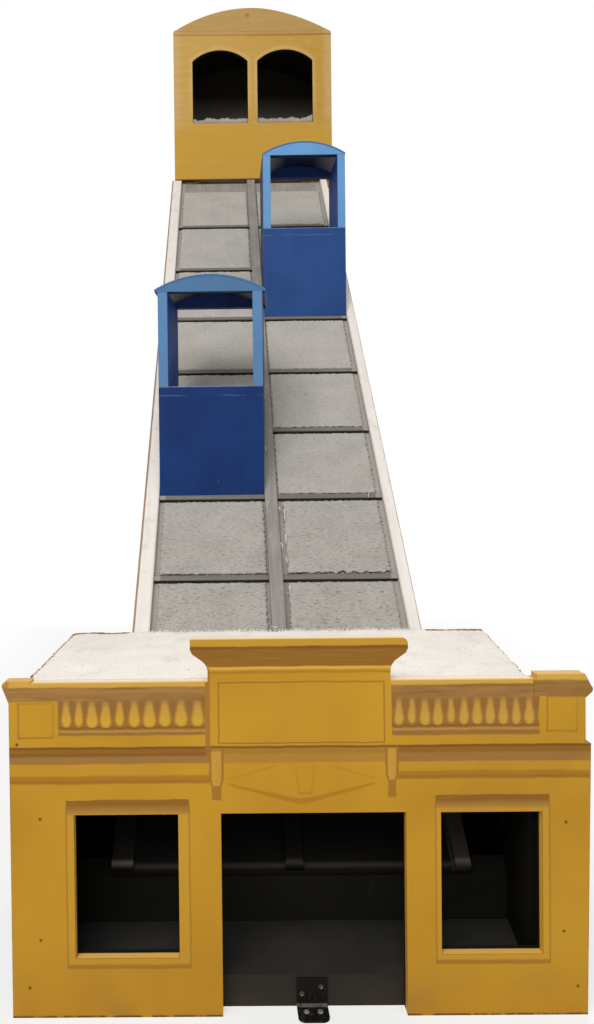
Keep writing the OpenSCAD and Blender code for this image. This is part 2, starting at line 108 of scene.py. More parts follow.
# %% Arithmetic with sockets
class Wire:
    """One socket of a node tree. Sums on it add Math nodes; node() adds any other node."""

    def __init__(self, tree, socket=None):
        self.tree, self.socket = tree, socket

    def node(self, kind, settings=(), sockets=(), out=0):
        """Add a node: settings first (stops are a ramp's), then socket values or links. Gives one output."""
        made = self.tree.nodes.new("ShaderNode" + kind)
        for name, value in dict(settings).items():
            if name == "stops":
                ramp = made.color_ramp.elements
                for spot, _ in value[1:-1]:
                    ramp.new(spot)
                for element, (spot, grey) in zip(ramp, value):
                    element.position = spot
                    element.color = (grey, grey, grey, 1.0)
            else:
                setattr(made, name, value)
        for name, value in dict(sockets).items():
            if isinstance(value, Wire):
                self.tree.links.new(value.socket, made.inputs[name])
            else:
                made.inputs[name].default_value = value
        return Wire(self.tree, made.outputs[out])

    def maths(self, operation, *others):
        """One Math node with this value as its first number."""
        return self.node("Math", {"operation": operation}, dict(enumerate((self, *others))))

    def __add__(self, other):
        return self.maths("ADD", other)

    def __sub__(self, other):
        return self.maths("SUBTRACT", other)

    def __rsub__(self, other):
        return self.maths("MULTIPLY_ADD", -1.0, other)

    def __mul__(self, other):
        return self.maths("MULTIPLY", other)

    def __truediv__(self, other):
        return self.maths("DIVIDE", other)

    def __abs__(self):
        return self.maths("ABSOLUTE")

    __radd__ = __add__
    __rmul__ = __mul__

    def __or__(self, layer):
        """coat |= mask, colour paints the colour over the coat where the mask is 1."""
        mask, colour = layer
        return mask.mix(self, colour)

    def larger(self, other):
        """The larger of this and another value."""
        return self.maths("MAXIMUM", other)

    def rise(self, low, high):
        """0 at low and 1 at high, straight between them and level beyond; low may be the larger."""
        return self.node("MapRange", {"clamp": True}, {0: self, 1: low, 2: high})

    def band(self, low, high, soft):
        """1 between low and high, with edges that are soft wide."""
        return self.rise(low - soft / 2, low + soft / 2) * self.rise(high + soft / 2, high - soft / 2)

    def near(self, half, soft):
        """1 where the value is closer to zero than half, with edges that are soft wide."""
        return abs(self).rise(half + soft / 2, half - soft / 2)

    def mix(self, under, over):
        """The colour under where this is 0, and over where it is 1; three numbers are screen values."""
        under, over = (srgb(*c) if isinstance(c, tuple) and len(c) == 3 else c for c in (under, over))
        return self.node("Mix", {"data_type": "RGBA"}, {0: self, 6: under, 7: over}, out=2)

    def parts(self):
        """The X, Y and Z of a vector."""
        return [Wire(self.tree, s) for s in self.node("SeparateXYZ", sockets={0: self}).socket.node.outputs]

    def noise(self, size, detail=1.0):
        """Smooth noise about 0.5 on a place vector; size is one length, or one for each axis."""
        size = np.broadcast_to(np.array(size, float), 3)
        place = self.node("Mapping", sockets={"Vector": self, "Scale": tuple(1.0 / size)})
        return self.node("TexNoise", sockets={"Vector": place, "Scale": 1.0, "Detail": detail})

    def spots(self, scale):
        """Distance from the nearest of many scattered spots, of which there are scale in a millimetre."""
        return self.node("TexVoronoi", sockets={"Vector": self, "Scale": scale})


def vector(*parts):
    """A vector from its three parts."""
    return parts[0].node("CombineXYZ", sockets=dict(enumerate(parts)))


print("a wire can", ", ".join(name for name in vars(Wire) if not name.startswith("_")))


# %% Colours and finishes
def srgb(red, green, blue):
    """A colour in screen values from 0 to 255, turned into the linear values that a shader takes."""
    share = np.array([red, green, blue]) / 255.0
    linear = np.where(share <= 0.04045, share / 12.92, ((share + 0.055) / 1.055) ** 2.4)
    return (*linear.tolist(), 1.0)


def brighter(colour, factor):
    """A screen colour with its light made stronger by factor, up to full light, in linear values."""
    return (*(min(1.0, factor * v) for v in srgb(*colour)[:3]), 1.0)


def new_finish(name):
    """A material, its place vector in millimetres from the front board's face, and that vector's parts."""
    material = bpy.data.materials.new(name)
    material.use_nodes = True
    pen = Wire(material.node_tree)
    spot = pen.node("TexCoord", out="Object")
    place = pen.node("VectorMath", {"operation": "MULTIPLY_ADD"},
                     {0: spot, 1: (1 / MM,) * 3, 2: (0.0, -FRONT_Y / MM, 0.0)})
    return material, place, *place.parts()


# How much house paint, the paint inside the station and carpet reflect, far less than the shader's usual 0.5.
MATT, DULL, WOOLLY = 0.1, 0.04, 0.05


def dress(material, colour, roughness=0.5, height=None, gloss=MATT, metallic=0.0):
    """Feed a material's shader: colour and roughness as values or wires, a height in millimetres as bump."""
    tree = material.node_tree
    shader = tree.nodes["Principled BSDF"]
    if height is not None:
        bump = height.node("Bump", sockets={"Strength": 1.0, "Distance": MM, "Height": height})
        tree.links.new(bump.socket, shader.inputs["Normal"])
    sockets = {"Base Color": colour, "Roughness": roughness, "Metallic": metallic,
               "Specular IOR Level": gloss}
    for name, value in sockets.items():
        if isinstance(value, Wire):
            tree.links.new(value.socket, shader.inputs[name])
        else:
            shader.inputs[name].default_value = value
    print(material.name, len(tree.nodes), "nodes")
    return material


print("a grey of 188 on the screen is", round(srgb(188, 188, 188)[0], 2), "of full light")

# %% [markdown]
# The toy stands on a pale floor in plain, soft light. One large lamp in front, high and to the left, gives
# the shade beside the cars, a weaker one behind lights the back, and the white surroundings fill in the rest.
# The floor and the surroundings are bright only for the camera and for reflections, so they don't wash the
# paint out. Away from the toy the floor turns wholly white, and near it the shadow stays.

# %% Floor, surroundings and lamps
AMBIENT = 0.42
FLOOR_HALF = 40.0


def seen_directly(pen):
    """1 for rays from the camera and from glossy or clear surfaces, and 0 for light that bounces."""
    camera_ray = pen.node("LightPath", out="Is Camera Ray")
    rays = camera_ray.socket.node.outputs
    glossy, clear = Wire(pen.tree, rays["Is Glossy Ray"]), Wire(pen.tree, rays["Is Transmission Ray"])
    return camera_ray.larger(glossy).larger(clear)


world = bpy.data.worlds.new("surroundings")
bpy.context.scene.world = world
world.use_nodes = True
sky = world.node_tree.nodes["Background"]
sky.inputs["Color"].default_value = (1.0, 1.0, 1.0, 1.0)
world.node_tree.links.new(
    (seen_directly(Wire(world.node_tree)) * (1.0 - AMBIENT) + AMBIENT).socket, sky.inputs["Strength"])

floor_finish = bpy.data.materials.new("pale_floor")
floor_finish.use_nodes = True
floor_tree = floor_finish.node_tree
pen = Wire(floor_tree)
matt = pen.node("BsdfDiffuse", sockets={"Color": (0.86, 0.86, 0.85, 1.0)})
white = pen.node("Emission", sockets={"Color": (1.0, 1.0, 1.0, 1.0)})
floor_x, floor_y, _ = pen.node("TexCoord", out="Object").parts()
clear = (abs(floor_x) - cad_high.x).larger(abs(floor_y) - cad_high.y).rise(0.05, 0.7)
both = pen.node("MixShader", sockets={0: seen_directly(pen) * (0.6 + 0.4 * clear), 1: matt, 2: white})
floor_tree.links.new(both.socket, floor_tree.nodes["Material Output"].inputs["Surface"])

floor_mesh = bpy.data.meshes.new("floor")
floor_mesh.from_pydata([(-FLOOR_HALF, -FLOOR_HALF, 0), (FLOOR_HALF, -FLOOR_HALF, 0),
                        (FLOOR_HALF, FLOOR_HALF, 0), (-FLOOR_HALF, FLOOR_HALF, 0)], [], [(0, 1, 2, 3)])
floor_mesh.materials.append(floor_finish)
floor = bpy.data.objects.new("floor", floor_mesh)
bpy.context.scene.collection.objects.link(floor)
floor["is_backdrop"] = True


def add_lamp(name, place, aim, size, power, colour):
    """A square area lamp at place, turned to shine on aim."""
    lamp = bpy.data.objects.new(name, bpy.data.lights.new(name, "AREA"))
    lamp.data.size, lamp.data.energy, lamp.data.color = size, power, colour
    away = np.array(place) - np.array(aim)
    z_axis = away / np.linalg.norm(away)
    x_axis = np.cross((0.0, 0.0, 1.0), z_axis)
    x_axis /= np.linalg.norm(x_axis)
    matrix = np.eye(4)
    matrix[:3, :3] = np.stack([x_axis, np.cross(z_axis, x_axis), z_axis], axis=1)
    matrix[:3, 3] = place
    lamp.matrix_world = Matrix(matrix.tolist())
    bpy.context.scene.collection.objects.link(lamp)


add_lamp("key_lamp", (-0.8, -3.3, 3.2), (0.0, -0.3, 0.8), 2.6, 121.0, (1.0, 0.985, 0.96))
add_lamp("back_lamp", (1.8, 2.6, 3.2), (0.0, 0.4, 1.0), 2.2, 55.0, (1.0, 1.0, 1.0))
bpy.context.scene.view_settings.view_transform = "Standard"
print("floor, surroundings and", len(bpy.data.lights), "lamps")

# %% [markdown]
# The front of the lower station is the showpiece: one flat board on which all the mouldings are painted in
# brown on yellow, with shade under a cornice, a row of balusters, bands, corbels, a swag and window frames.
# They could be cut in relief, but on the real board they are only paint, so each stroke here is a mask
# worked out from the point's place on the board. A slow noise is added to the place first, which gives the
# strokes the unsteady edge of a hand.

# %% Colours of the front board
YELLOW = (187, 141, 40)
YELLOW_DEEP = (176, 129, 36)
YELLOW_LIT = (203, 160, 66)
UMBER = (137, 93, 35)
UMBER_DARK = (112, 73, 28)
UMBER_THIN = (158, 111, 33)
UMBER_GREY = (147, 107, 54)
TAN = (187, 144, 60)
INSIDE_DARK = (26, 24, 20)
print("the yellow as light:", [round(v, 2) for v in srgb(*YELLOW)[:3]])

# %% Cornices and balusters
BALUSTER = [(0.0, 0.14), (0.06, 0.28), (0.18, 0.38), (0.34, 0.35), (0.55, 0.26), (0.8, 0.21), (1.0, 0.19)]


def paint_cornices(coat, x, z, streak, strokes, left, right):
    """Shade under the wing cornices, the attic's fascia, slope and bead, and the line at the attic's side."""
    attic = 1 - left - right
    pier = right * x.rise(269.6, 271.4)
    wing = left + right - pier
    brown = strokes.rise(0.3, 0.7).mix((127, 89, 46), (158, 118, 66))
    coat |= wing * z.band(365.4, 381.4, 2) * streak, brown
    coat |= pier * z.band(366.2, 385.2, 1.6) * streak, brown
    coat |= left * z.band(374, 378.4, 3) * 0.45, (168, 128, 74)
    coat |= wing * z.rise(380.6, 382.6), (196, 154, 68)
    coat |= pier * z.rise(384.6, 386.4), (196, 154, 68)
    coat |= right * (x - 270.4).near(0.8, 1.2) * z.band(366, 386, 3) * 0.6, (112, 76, 34)
    deep = strokes.rise(0.3, 0.7).mix((124, 82, 33), (142, 99, 42))
    slope = z.rise(403, 425).mix((138, 94, 35), deep)
    coat |= attic * z.band(403.4, 426.4, 1.4) * streak, slope
    coat |= attic * z.band(423.2, 426.8, 1.6) * 0.55, UMBER_DARK
    coat |= attic * z.rise(426.4, 427.8), (183, 140, 47)
    coat |= attic * z.band(400.2, 403, 1.2), YELLOW_LIT
    coat |= attic * z.band(395.4, 398.6, 1.6) * 0.7, UMBER_THIN
    return coat | (x.band(-104.5, -99.2, 1.4) * z.band(302, 402, 2) * 0.85, (149, 103, 40))


def paint_balustrades(coat, x, z, streak, left, right):
    """Two rows of balusters. The count along a row gives each one its own cell, where a half width that
    changes with height, a narrow neck over a round belly, is set against the distance from the cell's
    middle."""
    ground = left * x.band(-273.3, -104.4, 1.6) * z.band(325.6, 370, 2)
    ground = ground + right * x.band(108.4, 276.5, 1.6) * z.band(323.4, 370, 2)
    coat |= ground * streak, z.rise(345, 370).mix((143, 100, 47), (126, 86, 40))
    coat |= ground * z.rise(350, 367) * (0.3 + 0.7 * streak), (139, 99, 52)
    widening_pitch = ((x + 264) / 0.28 + 643).maths("SQRT") - 25.36
    even_pitch = (x - 116.5) / 14.85
    count = even_pitch + left * (widening_pitch - even_pitch) + 0.5
    off = abs(count.maths("FRACT") - 0.5)
    chance = count.node("TexWhiteNoise", {"noise_dimensions": "1D"}, {"W": count.maths("FLOOR")})
    height = (z - 337.2 + 3 * chance) / 36
    profile = height.node("ValToRGB", {"stops": BALUSTER}, {0: height})
    inside = profile * (0.78 + 0.36 * chance - 0.06 * right) - off
    body = inside.rise(-0.09, 0.12) * height.rise(-0.06, 0.05) * height.rise(1.02, 0.64) * ground
    belly = right.mix((196, 152, 47), (189, 147, 60))
    coat |= body * (0.7 + 0.3 * streak), height.rise(0.75, 0.2).mix((180, 137, 64), belly)
    foot = z - 333.8 - 3 * off * off.rise(0.1, 0.5)
    coat |= ground * foot.near(1.1, 1.6) * 0.75, (120, 81, 34)
    rail = z.band(329.0, 331.8, 1.8) * (0.55 + 0.45 * off.rise(0.5, 0.4))
    return coat | (ground * rail * 0.7, (182, 140, 70))


print("a baluster's belly fills", 2 * max(half for _, half in BALUSTER), "of its cell")


# %% Bands, corbels and window frames
def box_edge(x, z, low, high):
    """Distance from an upright rectangle's edge, in the larger of X and Z, negative inside."""
    middle, half = (np.array(low) + high) / 2, (np.array(high) - low) / 2
    return (abs(x - middle[0]) - half[0]).larger(abs(z - middle[1]) - half[1])


def paint_bands(coat, x, z, streak, left, right):
    """The shaded band under the piers, the thin line below it, the faint panels on the two end piers, and the
    line round the bare sign."""
    sides = x.rise(-99, -101) + x.rise(114, 116)
    coat |= z.band(293, 312.2, 1.8) * streak * (0.55 + 0.45 * sides), UMBER_GREY
    coat |= z.band(303.5, 312.2, 1.6) * streak * (0.35 + 0.65 * sides), UMBER
    coat |= z.band(309.8, 312.4, 1.2) * 0.8, UMBER_DARK
    coat |= left * z.band(301.4, 304.8, 1.8) * 0.6, UMBER_DARK
    shift = z - 2.8 * right
    coat |= sides * shift.band(270.2, 279.4, 2.8) * streak, UMBER_THIN
    coat |= sides * shift.band(270.6, 274, 2.4) * 0.5, UMBER
    panel = box_edge(x, z, (-319, 323.5), (-279, 363)).near(0.9, 1.6)
    panel = panel + box_edge(x, z, (285.5, 327), (319, 366)).near(0.9, 1.6)
    heavy = abs(x).rise(312, 319) * left + z.rise(331, 325) + right * x.rise(292, 286)
    coat |= panel * (0.4 + 0.4 * heavy), (146, 102, 40)
    sign = box_edge(x, z, (-89.4, 315.6), (99.8, 385.4)).near(0.75, 0.9)
    return coat | (sign * 0.75, (128, 92, 36))


# Each corbel's lower left and upper right corner, and the foot of the drop below it.
CORBELS = (((-99.4, 266), (-85.6, 306), 251), ((102.2, 271), (114.4, 308), 252.5))


def paint_corbels(coat, x, z):
    """Two small corbels with a drop below each, and between them a lens-shaped swag round a keystone."""
    for (left, low), (right, high), drop in CORBELS:
        side = abs(x - (left + right) / 2) - (right - left) / 2 + 2.2 * z.rise(low + 8, low)
        block = x.rise(left, right).mix(TAN, (180, 135, 54))
        coat |= side.rise(0.8, -0.8) * z.band(low, high, 1.6), block
        coat |= side.near(1.3, 1.8) * z.band(low + 1, high + 3, 2) * 0.85, (142, 97, 35)
        coat |= (z - low).near(1.1, 1.6) * side.rise(0.8, -0.4) * 0.8, (142, 97, 35)
        tail = box_edge(x, z, (left + 1.2, drop), (right - 1.6, low))
        coat |= tail.rise(1, -1) * 0.9, (150, 104, 33)
    reach = abs(x - 5)
    bend = (reach * reach + 100).maths("SQRT")
    lower = z - 246 - 0.27 * bend
    width = 3.3 - 0.025 * reach
    coat |= (width - abs(lower)).rise(-1, 1) * reach.rise(88, 80) * 0.85, (160, 113, 28)
    upper = z - 298.4 + 0.29 * reach
    coat |= upper.near(1.0, 1.8) * reach.band(31, 84, 3) * 0.5, (160, 115, 38)
    stone = abs(x - 9) - 7.6 - 0.09 * (z - 259)
    coat |= stone.near(1.1, 1.8) * z.band(257, 290, 3) * 0.5, (163, 117, 34)
    return coat | (stone.rise(0.5, -0.5) * z.band(256, 259.5, 2) * 0.5, (158, 112, 30))


# Each painted frame's outline, and the height where the shade of its lintel ends.
WINDOW_FRAMES = ((((-265.6, 57.2), (-124.4, 251.6)), 234.5), (((157.6, 60.2), (287.4, 254.4)), 239.5))


def paint_window(coat, x, z, streak, outer, lintel):
    """A frame round a window: a paler ground, a dark upper edge over a lintel that is shaded down to its own
    height, a thin line outside, and a dark foot."""
    frame_edge = box_edge(x, z, *outer)
    within = frame_edge.rise(0.6, -0.6)
    foot, top = outer[0][1], outer[1][1]
    coat |= within * 0.55, (188, 142, 50)
    shaded = z.rise(lintel, top - 6).mix((168, 126, 56), (138, 96, 39))
    coat |= within * z.band(lintel, top - 5.5, 3) * streak, shaded
    coat |= within * z.band(top - 7, top + 1, 2) * streak, (134, 91, 35)
    coat |= frame_edge.near(0.9, 1.2) * z.rise(top - 4, top - 8) * 0.7, (146, 103, 38)
    return coat | (within * z.band(foot - 0.5, foot + 4.2, 2) * 0.8, (150, 105, 35))


print(len(CORBELS), "corbels and", len(WINDOW_FRAMES), "window frames")

# %% Cut faces
# The corners of the left window, the right window and the door.
OPENINGS = (((-257.0, 68.0), (-137.0, 234.5)), ((163.5, 70.0), (279.5, 234.5)),
            ((-88.0, -5.0), (124.0, 235.0)))


def paint_cut_faces(coat, x, y, z):
    """The faces that the saw left: cream along the tops, sills and jambs painted paler as painted light, dark
    towards the room.
    """
    behind = y.rise(0.9, 2.2)
    pier = x.rise(268, 270).larger(x.rise(-303, -305)) * z.rise(396, 395)
    top = pier.mix(y.rise(3, 13).mix((226, 188, 112), (238, 227, 206)), (216, 170, 90))
    coat |= behind * z.rise(384.4, 385.4), top
    for (left, low), (right, high) in OPENINGS:
        upright = behind * z.band(low, high, 1)
        # painted light: sills and jambs are paler and brighter than the face, standing in for the light on
        # them
        right_jamb_painted_light = x.rise(130, 120).mix((230, 176, 66), (176, 126, 44))
        coat |= behind * z.rise(low + 1.2, low + 0.4) * x.band(left + 1, right - 1, 1), (232, 184, 92)
        coat |= upright * (x - left).near(1, 0.6), (226, 176, 70)
        coat |= upright * (x - right).near(1, 0.6), right_jamb_painted_light
        room = box_edge(x, z, (left, low), (right, high)).near(1.4, 0.6) * y.rise(10.5, 12)
        coat |= room, INSIDE_DARK
    return coat


print(len(OPENINGS), "openings with cut faces")


# %% Paint on the front board
def front_paint():
    """Yellow ground, deepened towards the floor as painted shade, the strokes from the back to the front,
    then grime, worn edges, sills and jambs painted paler as painted light, and the dark inside.
    """
    material, place, x, y, z = new_finish("station_front_paint")
    slow, quick = place.noise(60) - 0.5, place.noise(13) - 0.5
    hand_x, hand_z = x + 1.6 * quick, z + 2.6 * slow + 1.3 * quick
    strokes = place.noise((60, 60, 4.5), 3)
    streak = (0.66 + 0.62 * place.noise((70, 70, 2.2), 2)).maths("MINIMUM", 1.0)
    cloud = place.noise(150, 2).rise(0.35, 0.65)
    left = x.rise(-103.6, -104.8) * z.rise(393.4, 392.6)
    right = x.rise(107.4, 108.6) * z.rise(395.4, 394.6)
    coat = cloud.mix(YELLOW_DEEP, YELLOW)
    # painted shade: the yellow deepens towards the floor
    coat |= z.rise(120, 0) * 0.55, (174, 125, 36)
    coat = paint_bands(coat, hand_x, hand_z, streak, left, right)
    coat = paint_balustrades(coat, x + 2 * quick, hand_z, streak, left, right)
    coat = paint_cornices(coat, hand_x, hand_z, streak, strokes, left, right)
    coat = paint_corbels(coat, hand_x, hand_z)
    for outer, lintel in WINDOW_FRAMES:
        coat = paint_window(coat, hand_x, hand_z, streak, outer, lintel)
    grime = place.noise(85, 4).rise(0.52, 0.7) * z.rise(60, 10)
    coat |= grime * 0.35, (140, 104, 62)
    coat |= z.rise(3.2, 1.2) * place.noise(14, 2).rise(0.35, 0.5), (96, 60, 26)
    right_side = 330 + 0.016 * z - 6 * z.rise(311.4, 312.4)
    scuffed = (x - right_side).larger(-330 - x).rise(-1.6, -0.6) * place.noise((8, 8, 30), 3).rise(0.5, 0.6)
    coat |= scuffed * 0.8, (150, 108, 66)
    coat = paint_cut_faces(coat, x, y, z)
    back = z.rise(364, 366).mix(INSIDE_DARK, cloud.mix((170, 124, 46), (184, 138, 58)))
    coat |= y.rise(16.6, 17.2), back
    roller = place.noise(3.2, 2) * 0.12 + place.noise((60, 60, 1.6), 2) * 0.08
    return dress(material, coat, 0.42 + 0.22 * place.noise(30, 3), roller)


front_finish = front_paint()

# %% [markdown]
# The other boards have plainer finishes. The upper station's yellow is thin, so that the pine shows through
# it. It is paler along the edges and round the arches, and has one knot in the gable. The lower station is
# nearly black inside and navy outside. What a board shows on its cut edges and hidden sides is told from its
# place, so one material serves all its faces.

# %% Grain, and the upper station's measures
def grain(place, sizes):
    """Streaks of wood from 0 to 1: slow rings broken by fine pores, both drawn out along the longest size."""
    rings = place.noise(sizes, 3)
    pores = place.noise(np.array(sizes) / 5.0, 2)
    return rings.rise(0.3, 0.7) * 0.75 + pores.rise(0.35, 0.65) * 0.25


def corners(name):
    """The lowest and the highest corner of a board's box in millimetres from the front board's face."""
    return [(np.array(corner) - (0.0, FRONT_Y, 0.0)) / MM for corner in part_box(name)]


UPPER_LOW, UPPER_HIGH = corners("upper_front")
UPPER_FRONT_Y = UPPER_LOW[1]
UPPER_X = (UPPER_LOW[0] + UPPER_HIGH[0]) / 2
UPPER_HALF = (UPPER_HIGH[0] - UPPER_LOW[0]) / 2
BOARD = 18.0
UPPER_ROOM = 342.0  # from the front board's face to the back board
UPPER_EAVES = UPPER_LOW[2] + 440.0
ARCH_HALF, ARCH_OFF, ARCH_R = 83.0, 97.5, 120.9
ARCH_SILL, ARCH_CENTRE = UPPER_LOW[2] + 170, UPPER_LOW[2] + 388 - ARCH_R
print("upper front", round(2 * UPPER_HALF), "mm wide, with arches of", round(2 * ARCH_HALF), "mm")


# %% The upper station's paint
def arch_edge(x, z):
    """Distance from the nearer arch's edge, negative inside: upright sides, round head about a low centre."""
    across = abs(abs(x - UPPER_X) - ARCH_OFF)
    above = (z - ARCH_CENTRE).larger(0.0)
    round_head = (across * across + above * above).maths("SQRT") - ARCH_R
    return (across - ARCH_HALF).larger(round_head).larger(ARCH_SILL - z)


def upper_paint(name, is_front):
    """Thin yellow over pine. On the front: paler edges and arch surrounds, a painted line, a knot and a
    painted shadow along its foot. On the side boards' inner faces, painted light: paler low down, dark higher
    up.
    """
    material, place, x, y, z = new_finish(name)
    hand = 10 * (place.noise(60) - 0.5)
    wood = grain(place, (150, 150, 9)) if is_front else grain(place, (14, 14, 240))
    to_right = x.rise(-120, 200)
    deep, pale = to_right.mix((186, 147, 74), (178, 137, 57)), to_right.mix((194, 156, 84), (187, 147, 68))
    coat = wood.mix(deep, pale)
    worn = place.noise((40, 40, 12) if is_front else (10, 10, 70), 4).rise(0.62, 0.7)
    coat |= worn * 0.2, (206, 178, 128)
    if is_front:
        low_part = (z + hand).rise(1700, 1660)
        coat |= low_part, wood.mix((188, 145, 56), (195, 151, 62))
        gable = (z + 0.4 * hand).rise(1950, 1958)
        coat |= gable * 0.8, wood.mix((164, 132, 78), (182, 149, 95))
        side = abs(x - UPPER_X) - UPPER_HALF
        pale = wood.mix((186, 154, 102), (200, 170, 120))
        coat |= (side + hand).rise(-30, -12) * z.rise(1640, 1730) * 0.65, pale
        arch = arch_edge(x, z)
        coat |= (arch + hand).rise(13, 5) * z.rise(1700, 1760) * 0.5, (203, 172, 112)
        line = z - 1951.5 - 0.00003 * (x - 60) * (x - 60) + 0.18 * hand
        coat |= line.near(2.6, 3) * 0.65 * (0.7 + 0.4 * x.rise(-50, 180)), (134, 90, 46)
        coat |= (line - 12).near(1.2, 3) * 0.35, (140, 98, 56)
        knot = ((x + 0.7) * (x + 0.7) + (z - 2011) * (z - 2011)) / 40
        coat |= knot.rise(1.5, 0.2) * 0.6, (112, 86, 50)
        # painted shadow: the lowest millimetres of the front are darkened, as the shade just under it
        coat |= z.rise(UPPER_LOW[2] + 4, UPPER_LOW[2] + 2), (96, 74, 40)
        inside = y.rise(UPPER_FRONT_Y + 1.4, UPPER_FRONT_Y + 3) * arch.rise(4, 3)
        inside = inside.larger(y.rise(UPPER_FRONT_Y + BOARD - 1.2, UPPER_FRONT_Y + BOARD - 0.6))
    else:
        depth = abs(x - UPPER_X) - (UPPER_HALF - BOARD)
        room_end = UPPER_FRONT_Y + UPPER_ROOM
        inside = depth.rise(0.8, 0.2) * y.rise(room_end - 2, room_end - 12)
        back = y.band(room_end - 1, room_end + 0.6, 0.4)
        inside = inside.larger(back * depth.rise(1, 0))
    # painted light: the side boards' inner faces are paler low down and dark higher up, as light coming
    # through the arches
    room = (22, 20, 16) if is_front else z.rise(1930, 1866).mix((48, 44, 36), (124, 120, 112))
    coat |= inside, room
    return dress(material, coat, 0.5 + 0.2 * wood, 0.25 * wood + 0.1 * place.noise(3, 2))


upper_front_finish = upper_paint("upper_front_paint", True)
upper_side_finish = upper_paint("upper_side_paint", False)


# %% Bare wood
STATION_HALF, STATION_END = 328.0, 340.75  # the walls' outer faces, and where the right side stops slanting


def slanting_side(inset):
    """X of the lower station's right side at a place Y: it runs in by inset towards the front."""
    return lambda y: STATION_HALF - inset * (STATION_END - y) / (STATION_END - BOARD)


roof_side, wall_side = slanting_side(45.0), slanting_side(40.0)


def bare_wood(name, sizes, pale, dark, layers=False):
    """Unpainted wood with grain along one axis; layers adds plywood's glue lines on a flat board's edges."""
    material, place, x, y, z = new_finish(name)
    wood = grain(place, sizes)
    coat = wood.mix(pale, dark)
    if layers:
        layer = (z + 0.8 * place.noise(30)).maths("PINGPONG", 1.6)
        edge = (x - roof_side(y)).larger(0.1 - STATION_HALF - x).rise(-1, -0.4)
        coat |= edge, layer.rise(0.5, 1.1).mix((104, 70, 44), (152, 110, 74))
    coat |= place.spots(0.006).rise(0.055, 0.02) * 0.6, (96, 62, 36)
    return dress(material, coat, 0.62, 0.3 * wood)


ply_finish = bare_wood("plywood", (30, 260, 30), (186, 146, 100), (160, 118, 76), layers=True)
post_finish = bare_wood("pine_posts", (13, 13, 320), (205, 168, 118), (176, 132, 84))
side_tie_finish = bare_wood("pine_side_ties", (12, 300, 12), (203, 166, 118), (174, 130, 84))
cross_tie_finish = bare_wood("pine_cross_ties", (300, 12, 12), (203, 166, 118), (174, 130, 84))


# %% Dark paint inside and outside the lower station
NAVY, NAVY_PALE = (30, 46, 84), (40, 62, 104)
wall_end = corners("station_left_wall")[1][1]


def station_paint(name, inner):
    """Matt paint, dark inside: scuffs, lint on the floor, and navy on the walls' outer faces and ends."""
    material, place, x, y, z = new_finish(name)
    cloud = place.noise(60, 4)
    coat = cloud.rise(0.35, 0.7).mix(inner, brighter(inner, 1.25))
    scuff = place.noise((9, 60, 60), 4).rise(0.64, 0.72)
    coat |= scuff * 0.15, (56, 54, 50)
    coat |= place.spots(0.02).rise(0.028, 0.014) * z.rise(42, 40), (150, 146, 138)
    patchy, front_end = cloud.rise(0.3, 0.7), y.rise(BOARD + 1.4, BOARD + 0.8)
    riser = z.rise(8, 38).mix(patchy.mix((50, 45, 38), (57, 51, 44)), (45, 42, 39))
    coat |= front_end * z.rise(39.6, 38), riser
    skin = patchy.mix(NAVY, NAVY_PALE)
    skin = (place.noise((10, 10, 60), 4).rise(0.66, 0.72) * 0.5).mix(skin, (140, 108, 78))
    coat |= front_end * x.rise(262, 264), (10, 9, 7)
    coat |= (x - wall_side(y)).larger(-STATION_HALF - x).larger(y - wall_end).rise(-1.2, -0.6), skin
    return dress(material, coat, 0.6 + 0.2 * cloud, 0.12 * place.noise(3, 2), gloss=DULL)


wall_finish = station_paint("station_wall_paint", (25, 23, 19))
foot_finish = station_paint("ramp_foot_paint", (27, 26, 21))
floor_paint = station_paint("station_floor_paint", (47, 46, 45))


def back_wall_paint():
    """The back board: dark towards the room, the outside's navy on its other faces."""
    material, place, x, y, z = new_finish("station_back_paint")
    cloud = place.noise(60, 4)
    room_side = corners("station_back_wall")[1][1] - BOARD
    outside = y.rise(room_side + 0.6, room_side + 1.2)
    coat = outside.mix(INSIDE_DARK, cloud.rise(0.3, 0.7).mix(NAVY, NAVY_PALE))
    return dress(material, coat, 0.55 + 0.2 * cloud, 0.12 * place.noise(3, 2))


back_wall_finish = back_wall_paint()

# %% [markdown]
# The ramp lies at forty-five degrees. Told in level and upright directions, every brush mark would run
# askew, so its paints are told in the ramp's own: along the slope and square to it. The rails are white and
# worn to bare wood on their outer corners. The strip and the battens are grey, brushed along their length,
# with paler scuffs where they have been walked on.

# %% Paints of the ramp
RAMP_FOOT = (118.0, 110.0)  # Y and Z of the ramp board's lower top edge
SLOPE = math.sqrt(0.5)
STATION_S = 330.0  # how far up the slope the lower station's roof reaches
BATTEN_S = (468.0, 657.5, 845.0, 1040.0, 1245.0, 1470.0, 1696.0)  # the battens' lower edges
BATTEN_W = 12.0


def along_ramp(y, z):
    """Distance up the slope from the ramp's foot, and height square to the board's top."""
    back, up = (y - RAMP_FOOT[0]) * SLOPE, (z - RAMP_FOOT[1]) * SLOPE
    return back + up, up - back


